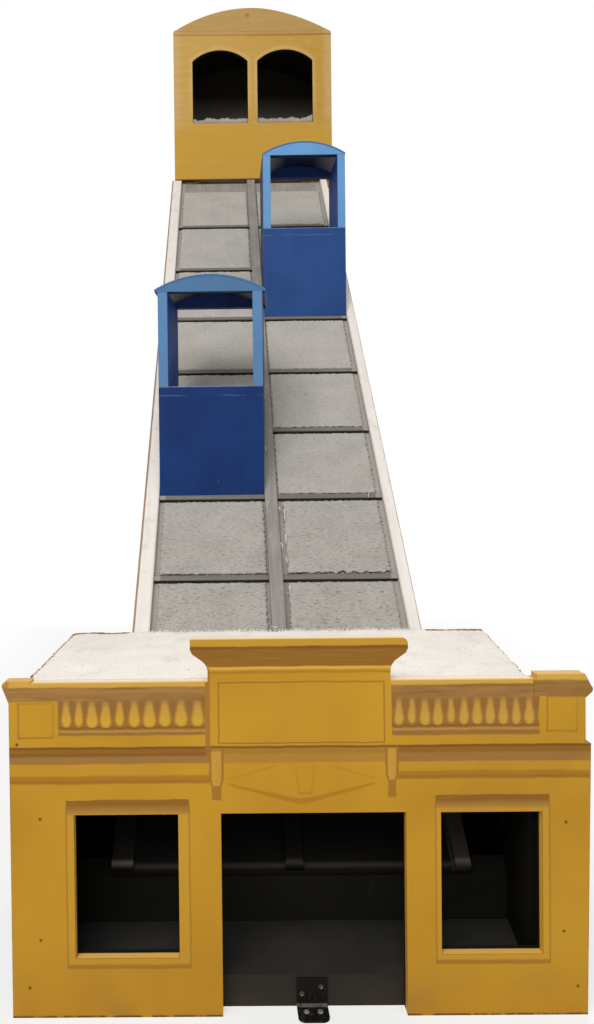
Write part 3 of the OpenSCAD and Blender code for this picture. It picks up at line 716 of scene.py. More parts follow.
def ramp_paint(name, pale, deep, worn, streak_sizes, scuffs, shade=(0.0, 0.0), inside=(13, 12, 10),
               tip=(60, 56, 50)):
    """Brushed matt paint with scuffs. worn is how far the ramp's sides are bare, shade the stretch from each
    batten's lower edge that is painted dark as shadow, inside the dark colour in the station, partly its
    paint and partly painted shade, and tip a less dark one at its foot, painted as light that reaches it
    there."""
    material, place, x, y, z = new_finish(name)
    s, n = along_ramp(y, z)
    local = vector(x, s, n)
    brush = local.noise(streak_sizes, 3)
    cloud = local.noise(70, 3)
    coat = (0.6 * brush + 0.4 * cloud).rise(0.36, 0.64).mix(deep, pale)
    scuff = local.noise((5, 26, 5), 4).rise(0.63, 0.7)
    coat |= scuff * scuffs, (186, 183, 178)
    dirt = local.noise(26, 4).rise(0.58, 0.74)
    coat |= dirt * 0.15, (92, 84, 74)
    outer = ((x - 230.0).larger(-227.6 - x) + 1.8 * (local.noise((9, 34, 9), 3) - 0.5)).rise(-0.4, 0.8)
    coat |= outer * worn, (140, 100, 64)
    # painted light: a paler band beside each rail, against the shadow the rail casts
    beside = (abs(x - 4) - 203).near(7, 1.5)
    coat |= beside * 0.5, (176, 171, 165)
    if shade[1] > shade[0]:
        for row in BATTEN_S:
            coat |= (s - row).band(*shade, 0.8), (56, 53, 49)
    coat |= n.rise(-1.5, -3), brush.mix((170, 128, 84), (148, 106, 68))
    foot = s.band(4, 10, 5) * n.rise(-1.5, 0)
    # painted shade inside the station: the ramp turns dark there, less so at its foot, and its end and under
    # faces a little less dark, as painted light against their deeper shade
    indoor_paint_and_shade = x.rise(208, 210).mix(inside, (60, 56, 50))
    indoor_paint_and_shade = n.rise(-0.4, -1.6).mix(foot.mix(indoor_paint_and_shade, tip), (34, 32, 27))
    coat |= s.rise(STATION_S, STATION_S - 30), indoor_paint_and_shade
    return dress(material, coat, 0.55 + 0.2 * cloud, 0.14 * brush + 0.08 * local.noise(2.5, 2))


board_finish = ramp_paint("ramp_board_paint", (156, 151, 146), (138, 133, 128), 1.0, (9, 120, 9), 0.3,
                          (BATTEN_W, BATTEN_W + 6))
# the rails are white; inside the station they are painted dark as shade, paler at the foot
rail_finish = ramp_paint("rail_white_paint", (233, 228, 221), (224, 218, 210), 0.85, (7, 150, 7), 0.0,
                         inside=(28, 26, 22), tip=(104, 98, 87))
strip_finish = ramp_paint("strip_grey_paint", (150, 146, 140), (132, 127, 121), 0.0, (6, 120, 6), 0.4)
batten_finish = ramp_paint("batten_grey_paint", (124, 118, 113), (108, 103, 98), 0.0, (90, 5, 5), 0.0,
                           (-1.0, 0.7))

# %% [markdown]
# The cars are plywood boxes in two blues: dark panels and walls, and light front edges that frame the window.
# Each board could have a material of its own making. One function with a switch for each trait makes them all
# instead, so that the two cars stay alike and only their colours and places differ.

# %% Paints of the cars
CAR_HALF, GABLE_RISE, SHEET = 97.5, 29.0, 4.0


def car_paint(name, base, deep, front_y=None, light=None, sill_z=None, across=None, arch=None):
    """Satin blue with faint brush marks. front_y turns what lies on the front plane light; sill_z pales the
    panel's upper edge, partly as chipped paint and partly as a painted highlight, and leaves the pale run of
    paint just below it. across, the car's middle and its turn, makes the inner faces of its walls a brighter
    blue, painted light against the shade in the car, and arch, the roof's radius and eaves, its under side
    greyer."""
    material, place, x, y, z = new_finish(name)
    brush = place.noise((14, 14, 160), 2)
    cloud = place.noise(90, 2)
    coat = (0.2 * brush + 0.8 * cloud).rise(0.36, 0.64).mix(deep, base)
    if across is not None:
        middle, turn = across
        off = abs((x - middle) * math.cos(turn) - (y - front_y) * math.sin(turn))
        if arch is None:
            # painted light: the inner faces are a brighter blue than the outer, against the shade inside the
            # car
            coat |= off.rise(CAR_HALF - 8, CAR_HALF - 10), (40, 82, 160)
        else:
            radius, eaves = arch
            up = z - (eaves + GABLE_RISE - radius)
            depth = (off * off + up * up).maths("SQRT") - radius
            coat |= depth.rise(SHEET - 1, 1) * off.rise(36, 84), (158, 154, 152)
    if front_y is not None:
        pale = cloud.rise(0.35, 0.65).mix(light, brighter(light, 1.1))
        edge = (y + 1.2 * (place.noise(14) - 0.5)).rise(front_y + 1.9, front_y + 1.3)
        coat |= edge, pale
    if sill_z is not None:
        wavy = z + 5 * (place.noise(50) - 0.5)
        run = (wavy - sill_z + 17).near(0.7, 1.6) * place.noise((40, 40, 6), 3).rise(0.42, 0.56)
        coat |= run * 0.35, (110, 140, 186)
        # the pale band along the panel's top is partly chipped paint and partly a painted highlight
        chips_and_highlight = place.noise(16, 3).rise(0.3, 0.6)
        coat |= z.rise(sill_z - 2, sill_z - 0.8) * (0.3 + 0.5 * chips_and_highlight), (140, 156, 182)
    nick = place.noise(7, 2).rise(0.78, 0.8)
    coat |= nick * 0.5, (150, 172, 204)
    return dress(material, coat, 0.42 + 0.2 * cloud, 0.08 * brush + 0.08 * place.noise(3, 2))


CAR_BLUES = {
    "low_car": ((22, 52, 108), (18, 45, 96), (82, 121, 163), (72, 108, 146)),
    "high_car": ((39, 73, 130), (33, 64, 118), (96, 144, 188), (96, 145, 190)),
}
# How far the sides are turned, and half the roof's span.
CAR_TURNS = {"low_car": (math.radians(3.6), 103.5), "high_car": (0.0, 98.5)}
dressed = []  # a finish, and the boards that have it
for car, (blue, deep_blue, light_blue, gable_blue) in CAR_BLUES.items():
    (panel_low, panel_high), (gable_low, _) = corners(f"{car}_panel"), corners(f"{car}_front_gable")
    turn, half_span = CAR_TURNS[car]
    across = ((panel_low[0] + panel_high[0]) / 2, turn)
    arch = ((half_span ** 2 + GABLE_RISE ** 2) / (2 * GABLE_RISE), gable_low[2])
    dressed += [
        (car_paint(f"{car}_royal_blue", blue, deep_blue, sill_z=panel_high[2]), f"{car}_panel"),
        (car_paint(f"{car}_blue", (40, 58, 98), (33, 49, 86), panel_low[1], light_blue, across=across),
         f"{car}_left_wall {car}_right_wall"),
        (car_paint(f"{car}_light_blue", (30, 45, 80), (24, 37, 68), gable_low[1], gable_blue),
         f"{car}_front_gable"),
        (car_paint(f"{car}_roof_blue", (52, 62, 86), (42, 52, 76), corners(f"{car}_roof")[0][1],
                   (70, 106, 146), across=across, arch=arch), f"{car}_roof")]
# painted light: the rear gables are a brighter navy than the walls, against the shade inside the cars
rear_gable_finish = car_paint("rear_gable_navy", (48, 70, 122), (41, 61, 109))

# %% [markdown]
# Two small finishes are left. A black steel angle holds the door sill and is worn bright along its bend,
# where a highlight is painted as well. The upper roof is a bent brown sheet, dark below. No face of it is
# level, so its underside is told by how far a point lies under the roof's own curve.

# %% Steel and the brown roof
def worn_steel():
    """Black lacquer on steel, rubbed bright along its bend, where a highlight is painted too, with scratches
    and a little dust.
    """
    material, place, x, y, z = new_finish("worn_black_steel")
    scratch = place.noise((1.2, 6, 6), 4).rise(0.6, 0.68) * z.rise(20, 0)
    # the pale line along the bend is partly worn lacquer and partly a painted highlight
    bend = (z - 3.2).near(1.2, 1.4) * y.rise(11, 13) * place.noise((5, 4, 4), 3).rise(0.36, 0.5)
    dusty = place.noise(4, 3).rise(0.62, 0.7) * z.rise(4, 2)
    bright = (scratch * 0.35).larger(bend * 0.8).larger(dusty * 0.4)
    coat = bright.mix((17, 16, 13), (126, 122, 115))
    return dress(material, coat, 0.6, 0.08 * place.noise(2, 3), metallic=bright * 0.3)


steel_finish = worn_steel()
LEFT_SHOULDER, LEFT_BEND, RIGHT_BEND = 5.0, 2.1, 1.75  # the curve ends a little above the eaves on the left


def upper_roof_paint():
    """Brown outside and nearly black below: the underside lies a sheet's thickness under the roof's curve,
    which falls from the ridge by a power of the distance to each side."""
    material, place, x, y, z = new_finish("upper_roof_paint")
    cloud = place.noise((30, 200, 30), 3)
    out = abs(x - UPPER_X) / UPPER_HALF
    rise = UPPER_HIGH[2] - UPPER_EAVES
    left_fall = (rise - LEFT_SHOULDER) * out.maths("POWER", LEFT_BEND)
    right_fall = rise * out.maths("POWER", RIGHT_BEND)
    curve = UPPER_HIGH[2] - left_fall - x.rise(UPPER_X - 0.1, UPPER_X + 0.1) * (right_fall - left_fall)
    coat = cloud.rise(0.35, 0.65).mix((150, 112, 62), (124, 88, 46))
    below = (z - curve).rise(-2.2, -3.4) * (UPPER_HALF - 8 - abs(x - UPPER_X)).rise(0, 2)
    return dress(material, coat | (below, (30, 27, 22)), 0.6, 0.1 * cloud)


roof_brown = upper_roof_paint()

# %% [markdown]
# A sawn board has edges that are a little rounded by sandpaper and paint, and that small roundness is what
# catches the light. The solids have sharp edges. Their meshes must not be touched, but a modifier may
# finish them: Weld joins the loose triangles, Decimate dissolves the flat ones and Bevel rounds the edges.

# %% Dress the boards
dressed += [
    (front_finish, "station_front"), (wall_finish, "station_left_wall station_right_wall"),
    (back_wall_finish, "station_back_wall"), (floor_paint, "station_floor station_floor_bearers"),
    (ply_finish, "station_roof upper_floor"), (steel_finish, "floor_bracket"), (board_finish, "ramp_board"),
    (foot_finish, "ramp_foot_board"), (rail_finish, "ramp_rail_left ramp_rail_right"),
    (strip_finish, "ramp_centre_strip"), (batten_finish, "ramp_battens_left ramp_battens_right"),
    (upper_front_finish, "upper_front"), (upper_side_finish, "upper_left_wall upper_right_wall upper_back"),
    (roof_brown, "upper_roof"), (rear_gable_finish, "low_car_rear_gable high_car_rear_gable"),
    (post_finish, "tower_posts"), (side_tie_finish, "tower_side_ties"),
    (cross_tie_finish, "tower_cross_ties ramp_bearer")]
EDGE_ROUND = {"floor_bracket": 0.5, "station_front": 1.3, "upper_front": 1.3, "ramp_battens_left": 1.4,
              "ramp_battens_right": 1.4, "station_floor": 0.2, "station_floor_bearers": 0.2}
USUAL_ROUND = 0.9


def round_edges(board, width):
    """Weld, dissolve and bevel a board's edges with modifiers; width is in millimetres."""
    weld = board.modifiers.new("weld", "WELD")
    weld.merge_threshold = 1e-5
    flat = board.modifiers.new("flat", "DECIMATE")
    flat.decimate_type, flat.angle_limit = "DISSOLVE", math.radians(0.5)
    edge = board.modifiers.new("edge", "BEVEL")
    edge.width, edge.segments = width * MM, 2
    edge.limit_method, edge.angle_limit = "ANGLE", math.radians(40)


finishes = {name: finish for finish, names in dressed for name in names.split()}
for name, finish in finishes.items():
    nodes[name].data.materials.clear()
    nodes[name].data.materials.append(finish)
    round_edges(nodes[name], EDGE_ROUND.get(name, USUAL_ROUND))
print(len(finishes), "boards dressed,", len(nodes) - len(finishes), "carpets to replace")

# %% [markdown]
# Carpet is the one soft thing here. The ramp has squares of ribbed loop carpet, cut with a knife, whose edges
# fray. A flat slab would look like card. Each square is therefore a grid whose height follows the ribs, sinks
# along the border and is pulled out of line where the knife tore it. The cut sides are dark, short threads
# stick out all round, and a few longer ones lie about on the squares and the strip.

# %% Ripples and meshes
def ripple(a, b, size, seed, waves=14):
    """Smooth random values about 0: a sum of sine waves of roughly the given length in random directions."""
    draw = np.random.default_rng(seed)
    way, phase = draw.uniform(0, 2 * np.pi, (2, waves))
    speed = 2 * np.pi / size * draw.uniform(0.6, 1.7, waves)
    total = np.sin(a[..., None] * np.cos(way) * speed + b[..., None] * np.sin(way) * speed + phase).sum(-1)
    return total / math.sqrt(waves)


def add_piece(name, points, faces, material, slot, **values):
    """Make a mesh of points in metres and arrays of faces, each array with its own number of corners; values
    are named numbers for each point, which a material may read."""
    mesh = bpy.data.meshes.new(name)
    counts = np.concatenate([np.full(len(f), f.shape[1]) for f in faces])
    mesh.vertices.add(len(points))
    mesh.vertices.foreach_set("co", np.asarray(points, np.float32).ravel())
    mesh.loops.add(int(counts.sum()))
    mesh.loops.foreach_set("vertex_index", np.concatenate([f.ravel() for f in faces]).astype(np.int32))
    mesh.polygons.add(len(counts))
    mesh.polygons.foreach_set("loop_start", np.concatenate([[0], np.cumsum(counts)[:-1]]).astype(np.int32))
    mesh.polygons.foreach_set("use_smooth", np.ones(len(counts), bool))
    mesh.update(calc_edges=True)
    mesh.validate()
    outward = bmesh.new()
    outward.from_mesh(mesh)
    bmesh.ops.recalc_face_normals(outward, faces=outward.faces)
    outward.to_mesh(mesh)
    outward.free()
    for label, numbers in values.items():
        kept = mesh.attributes.new(label, "FLOAT", "POINT").data
        kept.foreach_set("value", np.asarray(numbers, np.float32))
    mesh.materials.append(material)
    piece = bpy.data.objects.new(name, mesh)
    bpy.context.scene.collection.objects.link(piece)
    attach(piece, "root")
    return piece


print("a ripple reaches", round(float(ripple(*np.mgrid[0:90, 0:90], 20, 0).max()), 1))


# %% Slabs of carpet
def grid_faces(rows, columns):
    """The quads of a grid of points counted row by row."""
    index = np.arange(rows * columns).reshape(rows, columns)
    return np.stack([index[:-1, :-1], index[:-1, 1:], index[1:, 1:], index[1:, :-1]], -1).reshape(-1, 4)


def add_slab(name, put, a, b, height, floor, material, slot, **values):
    """A carpet: a grid of points that put makes of a, b and height, walls from its border to a ring of points
    at the height floor, and one face under them. A value is given for the top and for the base."""
    index = np.arange(a.size).reshape(a.shape)
    border = np.concatenate([index[0, :-1], index[:-1, -1], index[-1, :0:-1], index[:0:-1, 0]])
    base = a.size + np.arange(len(border))
    walls = np.stack([border, base, np.roll(base, -1), np.roll(border, -1)], -1)
    ring = put(a.ravel()[border], b.ravel()[border], np.full(len(border), floor))
    points = np.concatenate([put(a, b, height).reshape(-1, 3), ring])
    for label, (top, under) in values.items():
        top, under = np.broadcast_to(top, a.shape).ravel(), np.broadcast_to(under, a.shape).ravel()
        values[label] = np.concatenate([top, under[border]])
    return add_piece(name, points, [grid_faces(*a.shape), walls, base[None, :]], material, slot, **values)


def on_ramp(x, s, n):
    """A point from its X, its way up the slope and its height square to the board, in metres."""
    return on_level(x, RAMP_FOOT[0] + SLOPE * (s - n), RAMP_FOOT[1] + SLOPE * (s + n))


def on_level(x, y, z):
    """A point from its X, Y and Z counted from the front board's face, in metres."""
    return np.stack([x * MM, y * MM + FRONT_Y, z * MM], -1)


print("a grid of 3 by 4 points has", len(grid_faces(3, 4)), "faces")

# %% Threads
ASKEW = (0.36, 0.48, 0.8)  # a direction that no thread takes


def tube_faces(count, rings, sides):
    """The walls and the two end faces of each of count tubes, whose points are counted ring by ring."""
    ring = np.arange(count)[:, None, None] * rings + np.arange(rings - 1)[None, :, None]
    corner = np.arange(sides)
    first, after = ring * sides + corner, ring * sides + (corner + 1) % sides
    walls = np.stack([first, after, after + sides, first + sides], -1).reshape(-1, 4)
    ends = np.arange(count)[:, None] * rings * sides + corner
    return [walls, ends, ends + (rings - 1) * sides]


def strand_mesh(paths, radius):
    """Three-sided threads along paths (count, steps, 3), thinning to about a third: each step's ring is
    turned square to the path's mean direction."""
    count, steps, _ = paths.shape
    way = paths[:, -1] - paths[:, 0]
    way /= np.linalg.norm(way, axis=1, keepdims=True) + 1e-12
    side = np.cross(way, ASKEW)
    side /= np.linalg.norm(side, axis=1, keepdims=True) + 1e-12
    other = np.cross(way, side)
    angle = np.array([0.0, 2.0944, 4.1888])
    taper = radius * np.linspace(1.0, 0.35, steps)
    ring = np.cos(angle)[None, :, None] * side[:, None] + np.sin(angle)[None, :, None] * other[:, None]
    points = paths[:, :, None, :] + taper[None, :, None, None] * ring[:, None]
    return points.reshape(-1, 3), tube_faces(count, steps, 3)


print("a thread of 5 steps has", sum(map(len, tube_faces(1, 5, 3))), "faces")


# %% Carpet finishes
def carpet_finish(name, pale, deep, speck, grains):
    """Cut pile or thread: close speckle of tips, slow clouds of wear, a few stray dark specks, and brown
    backing along the border where a point's rim value is high."""
    material, place, x, y, z = new_finish(name)
    tips = place.noise(grains, 2)
    cloud = place.noise(60, 3)
    coat = (0.35 * tips + 0.65 * cloud).rise(0.36, 0.62).mix(deep, pale)
    coat |= vector(x, 0.5 * y, z).spots(0.027).rise(0.055, 0.03) * 0.7, speck
    coat |= place.noise((34, 70, 34), 4).rise(0.55, 0.72) * 0.14 + x.rise(110, 320) * 0.1, speck
    rim = place.node("Attribute", {"attribute_name": "rim"}, out="Fac")
    coat |= (rim + 0.5 * (place.noise(9, 3) - 0.5)).rise(0.35, 0.55), (146, 106, 72)
    return dress(material, coat, 0.95, 0.25 * tips, gloss=WOOLLY)


def loop_carpet_finish():
    """Grey loop carpet: the loops lie in short dashes across the lane, dark between and pale on top, and the
    border, told by each point's lip value, is paler where the knife opened the loops. A high cut value marks
    the dark cut sides."""
    material, place, x, y, z = new_finish("grey_loop_carpet")
    s, n = along_ramp(y, z)
    local = vector(x, s, n)
    loops, cloud = local.noise((6, 1.8, 6), 2), local.noise(60, 3)
    coat = (0.6 * loops + 0.4 * cloud).rise(0.36, 0.62).mix((157, 153, 147), (178, 174, 167))
    coat |= s.rise(600, 1050) * 0.25, (200, 196, 188)
    rough = 0.45 + 0.55 * s.rise(760, 440)
    dash = local.noise((8, 1.9, 8), 3).rise(0.56, 0.68)
    coat |= dash * 0.85 * rough, (118, 113, 107)
    glint = vector(x + 300, s, n).noise((9, 2.0, 9), 2).rise(0.6, 0.72)
    coat |= glint * 0.4 * rough, (200, 196, 189)
    lip = place.node("Attribute", {"attribute_name": "lip"}, out="Fac")
    coat |= lip * 0.5, (203, 198, 191)
    cut = place.node("Attribute", {"attribute_name": "cut"}, out="Fac")
    coat |= cut.rise(0.08, 0.3) * local.noise(7, 2).rise(0.3, 0.5), (58, 54, 50)
    return dress(material, coat, 0.95, 0.6 * loops, gloss=WOOLLY)


tile_finish = loop_carpet_finish()
thread_finish = carpet_finish("carpet_thread", (214, 209, 202), (196, 191, 184), (170, 164, 158), 2.0)
roof_carpet_finish = carpet_finish("white_cut_pile", (247, 241, 233), (240, 233, 223), (120, 110, 100), 3.0)

# %% Shape of a carpet square
TILE_X = {"left": (-195.5, -9.0), "right": (18.0, 203.5)}
TILE_STARTS = (291.0, *(s + BATTEN_W + 4.5 for s in BATTEN_S))
TILE_ENDS = (*(s - 2.0 for s in BATTEN_S), 1916.0)
RAGGED = {("right", 1): 1.0, ("right", 7): 1.0, ("right", 3): 0.8}  # squares with a badly torn lower edge
INNER_GAP = {("right", 0): 6.0, ("right", 1): 7.5, ("left", 0): 3.0}  # squares cut short beside the strip
TILE_T = 7.0
BASE_GAP = 0.1  # between a carpet's base and its board, so that the two faces don't flicker
RIB = 4.6
TILE_STEPS = (128, 60)


def square_sides(side, row):
    """The two edges of a square across its lane, cut short beside the strip where the list says so."""
    low, high = TILE_X[side]
    gap = INNER_GAP.get((side, row), 0.0)
    return (low + gap, high) if side == "right" else (low, high - gap)


def carpet_square(side, row):
    """One square: X and the way up the slope form the grid. Its height is ribs across the lane, broken up by
    a ripple, falling away in the last millimetres, with the torn lower border lifted here and there. The
    last array tells how near a point lies to the border, from 1 on it to 0 inside."""
    seed = 100 * row + (side == "right")
    left, right = square_sides(side, row)
    low, high = TILE_STARTS[row], TILE_ENDS[row]
    x, s = np.meshgrid(np.linspace(left, right, TILE_STEPS[1]), np.linspace(low, high, TILE_STEPS[0]))
    inset = np.minimum.reduce([x - left, right - x, s - low, high - s])
    ribs = np.abs(np.sin(np.pi * (s + 1.4 * ripple(x, s, 45, seed)) / RIB)) ** 0.7
    broken = 0.55 + 0.45 * np.tanh(1.5 * ripple(x, 3 * s, 9, seed + 1))
    height = TILE_T - 2.0 + 1.5 * ribs * broken
    height = height + 0.4 * ripple(x, s, 60, seed + 2) + 0.2 * ripple(x, s, 5, seed + 3)
    height = height * (1 - 0.45 * np.exp(-inset / 1.6))
    tear = np.exp(-(s - low) / 7.0) * RAGGED.get((side, row), 0.5)
    lift = np.clip(ripple(x, s * 0.2, 55, seed + 4), 0, 1.2)
    height = height + 1.8 * tear * lift
    s = s + tear * (2.0 + 1.5 * ripple(x, s * 0, 16, seed + 5) + 1.0 * ripple(x, s * 0, 5, seed + 6))
    s = s - np.exp(-(high - s) / 6.0) * (0.6 + 0.9 * ripple(x, s * 0, 9, seed + 7))
    x = x + np.exp(-(x - left) / 5.0) * (1.0 + 0.9 * ripple(s, x * 0, 12, seed + 8))
    x = x - np.exp(-(right - x) / 5.0) * (1.2 + 1.1 * ripple(s, x * 0, 10, seed + 9))
    return x, s, height, np.exp(-inset / 2.0)


print(len(TILE_STARTS), "squares to a lane")

# %% Fringe of a carpet square
THREADS = (34, 22, 20, 20)  # along a square's lower, upper, left and right border
THREAD_R = 0.42 * MM


def fringe_paths(x, s, height, seed):
    """Threads from the border: they start on it, run outwards and droop, each bent its own way."""
    draw = np.random.default_rng(seed)
    rows, columns = x.shape
    ends = (columns, columns, rows, rows)
    lower, upper, first, last = (draw.integers(1, end - 1, n) for end, n in zip(ends, THREADS))
    row = np.concatenate([0 * lower, 0 * upper + rows - 1, first, last])
    column = np.concatenate([lower, upper, 0 * first, 0 * last + columns - 1])
    out_s = np.repeat((-1.0, 1.0, 0.0, 0.0), THREADS)[:, None]
    out_x = np.repeat((0.0, 0.0, -1.0, 1.0), THREADS)[:, None]
    t = np.linspace(0, 1, 5)[None, :]
    length = draw.uniform(2.0, 6.0, (len(row), 1))
    bend = draw.normal(0, 1.6, (len(row), 1))
    px = x[row, column][:, None] + length * t * out_x * 0.7 + bend * t * t * np.abs(out_s)
    ps = s[row, column][:, None] + length * t * out_s * 0.7 + bend * t * t * np.abs(out_x)
    pn = height[row, column][:, None] * 0.9 + draw.uniform(-0.5, 2.0, (len(row), 1)) * t - 1.5 * t * t
    return on_ramp(px, ps, np.maximum(pn, 0.6))


print(sum(THREADS), "threads to a square")

# %% Lay the squares
tiles = []
for side in TILE_X:
    for row in range(len(TILE_STARTS)):
        x, s, height, lip = carpet_square(side, row)
        label = f"{side}_{row}"
        square = add_slab("carpet_square_" + label, on_ramp, x, s, height, BASE_GAP, tile_finish,
                          "grey_carpet", lip=(lip, 0.0), cut=(0.0, 1.0))
        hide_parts(f"ramp_tiles_{side}")
        threads = strand_mesh(fringe_paths(x, s, height, 900 + 50 * row + (side == "right")), THREAD_R)
        fringe = add_piece("carpet_fringe_" + label, *threads, thread_finish, "grey_carpet")
        left, right = square_sides(side, row)
        flat = ((right - left) * MM, (TILE_ENDS[row] - TILE_STARTS[row]) * MM)
        tiles.append(square)
print(len(tiles), "carpet squares,", sum(len(t.data.polygons) for t in tiles), "faces")

# %% Stray threads
# Places across and along the ramp; the curl lies on a torn border.
STRAY = [[(27.1, 628), (26.8, 616), (27.0, 603)], [(26.5, 568), (26, 556), (25.6, 545)],
         [(17, 548), (18.4, 541), (19, 533)], [(17.4, 634), (18.6, 629), (19.6, 624)],
         [(26, 453), (26.4, 447), (26.2, 441)], [(23.6, 514), (24.6, 507), (25.2, 500)],
         [(-8, 371), (-1, 368.5), (6, 370)], [(-0.3, 799), (-0.4, 791), (3.4, 783)]]
STRAY_CURL = [(184.2, 654), (185.4, 661), (189, 668), (196, 672.6), (204, 674), (211, 672.4)]
for label, strokes, lift, thick in (
        ("stray_threads", STRAY, 9.5, 1.5), ("stray_curl", [STRAY_CURL], 12.5, 1.0)):
    x, s = np.moveaxis(np.array(strokes, float), -1, 0)
    rise = lift + 3 * np.sin(np.linspace(0.3, 2.8, x.shape[1]))[None, :]
    add_piece(label, *strand_mesh(on_ramp(x, s, rise + 0 * x), thick * MM), roof_carpet_finish, "grey_carpet")
print(len(STRAY) + 1, "stray threads")

# %% [markdown]
# The lower roof is covered with one piece of white cut pile. A bump in its material would leave the outline
# smooth, but the tips stand up singly, so besides a soft, uneven slab there are thousands of small tufts,
# each only a three-sided spike. The border is ragged, shows its brown backing in places, and leans with
# longer tufts towards the ramp.

# %% Shape of the roof carpet
ROOF_LEFT, ROOF_Y = -326.5, (18.6, 370.0)
ROOF_Z, ROOF_T = 368.0, 8.0
ROOF_STEPS = (90, 168)
INNER_TUFTS, EDGE_TUFTS = 5000, 1100
RAMP_HALF = 231.5


def roof_carpet():
    """A level grid between the straight left side and the slanting right one. The pile's height ripples at
    three sizes and sinks at the ragged border; the last array tells where the backing shows, along the left
    side, at the back beside the ramp and here and there on the right."""
    share, y = np.meshgrid(np.linspace(0, 1, ROOF_STEPS[1]), np.linspace(*ROOF_Y, ROOF_STEPS[0]))
    right = roof_side(y) - 2.5
    x = ROOF_LEFT + share * (right - ROOF_LEFT)
    inset = np.minimum.reduce([x - ROOF_LEFT, right - x, y - ROOF_Y[0] + 4, ROOF_Y[1] - y])
    height = ROOF_T - 1.4 + 0.4 * ripple(x, y, 70, 1) + 0.3 * ripple(x, y, 17, 2) + 0.2 * ripple(x, y, 6, 3)
    height = height * (1 - 0.35 * np.exp(-inset / 2.0))
    beside = np.clip((np.abs(x) - RAMP_HALF) / 6, 0, 1)
    rim = np.exp(-(x - ROOF_LEFT) / 5.5) + 0.45 * np.exp(-(right - x) / 3.2)
    rim = rim + beside * np.clip(1.25 - (ROOF_Y[1] - y) / 22, 0, 1)
    at_back = np.exp(-(ROOF_Y[1] - y) / 12)
    y = y - at_back * (5 * (1 - beside) - 1.6 * ripple(x, 0 * y, 9, 6))
    x = x + np.exp(-(x - ROOF_LEFT) / 5) * (0.8 + 1.2 * ripple(y, 0 * x, 9, 4))
    x = x - np.exp(-(right - x) / 5) * (1.2 + 1.6 * ripple(y, 0 * x, 9, 5))
    return x, y, height, rim


def tuft_paths(x, y, z, length, lean, seed, push=0.0):
    """Upright tips: each stands on its root and leans its own way; push leans them all towards the back."""
    draw = np.random.default_rng(seed)
    t = np.linspace(0, 1, 2)[None, :]
    tall = draw.uniform(*length, (len(x), 1))
    tip_x, tip_y = draw.normal(0, lean, (2, len(x), 1))
    return on_level(x[:, None] + tip_x * tall * t, y[:, None] + (tip_y + push) * tall * t,
                    z[:, None] + tall * t)


print("roof carpet on a grid of", ROOF_STEPS, "points")

# %% Lay the roof carpet
x, y, height, rim = roof_carpet()
roof_pile = add_slab("roof_carpet", on_level, x, y, ROOF_Z + height, ROOF_Z + BASE_GAP, roof_carpet_finish,
                     "white_carpet", rim=(rim, rim))
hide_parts("station_roof_carpet")
draw = np.random.default_rng(11)
rows, columns = x.shape
inner = draw.integers(0, columns * (rows - 2), INNER_TUFTS)
over_ramp = np.flatnonzero(np.abs(x[-1]) < RAMP_HALF - 4)
last_row = columns * (rows - 1) + draw.choice(over_ramp, EDGE_TUFTS)
x, y, top = x.ravel(), y.ravel(), ROOF_Z + height.ravel()
paths = np.concatenate([tuft_paths(x[inner], y[inner], top[inner] - 0.9, (1.2, 2.2), 0.5, 12),
                        tuft_paths(x[last_row], y[last_row], top[last_row] - 2.5, (3.0, 8.0), 0.5, 13, 0.5)])
roof_tufts = add_piece("roof_carpet_tufts", *strand_mesh(paths, 0.9 * MM), roof_carpet_finish, "white_carpet")
mean_width = roof_side(sum(ROOF_Y) / 2) - ROOF_LEFT
mean_width * MM
print("roof carpet with", len(inner) + len(last_row), "tufts")

# %% [markdown]
# Inside the upper station lies a thick, lumpy piece of the same white pile, pressed down where it is used.
# It is soft and deep. It could be settled as cloth, but little more than its front shows through the arches,
# so its lumps are worked out. Longer tufts make it woolly, and at each arch a roll of it laps over the sill.

# %% Carpet in the upper station
nest_low, nest_high = corners("upper_carpet")
NEST_STEPS = (70, 90)
NEST_TUFTS = 7000


def nest_carpet():
    """A level grid with a hollow pressed in at the front on the right, lumps all over, and a lower border."""
    x, y = np.meshgrid(np.linspace(nest_low[0] + 1.5, nest_high[0] - 1.5, NEST_STEPS[1]),
                       np.linspace(nest_low[1] + 1.5, nest_high[1] - 1.5, NEST_STEPS[0]))
    across, deep = (x - UPPER_X) / 200, (y - nest_low[1]) / 324
    hollow = 9 * np.exp(-((across - 0.55) / 0.28) ** 2 - ((deep - 0.2) / 0.5) ** 2)
    height = 27 - hollow + 2.2 * ripple(x, y, 90, 21) + 0.8 * ripple(x, y, 24, 22) + 0.3 * ripple(x, y, 8, 23)
    inset = np.minimum.reduce([x - nest_low[0], nest_high[0] - x, y - nest_low[1], nest_high[1] - y])
    return x, y, height * (1 - 0.08 * np.exp(-inset / 5.0))


x, y, height = nest_carpet()
nest = add_slab("upper_nest_carpet", on_level, x, y, nest_low[2] + height, nest_low[2] + BASE_GAP,
                roof_carpet_finish, "white_carpet")
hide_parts("upper_carpet")
draw = np.random.default_rng(31)
pick = draw.integers(0, x.size, NEST_TUFTS)
roots = np.stack([x.ravel()[pick], y.ravel()[pick]]) + draw.uniform(-2.4, 2.4, (2, NEST_TUFTS))
roots = np.clip(roots, nest_low[:2, None] + 4, nest_high[:2, None] - 4)
paths = tuft_paths(*roots, nest_low[2] + height.ravel()[pick] - 1.2, (2.0, 4.2), 0.45, 32)
add_piece("upper_nest_tufts", *strand_mesh(paths, 0.8 * MM), roof_carpet_finish, "white_carpet")
print("nest carpet with", NEST_TUFTS, "tufts")


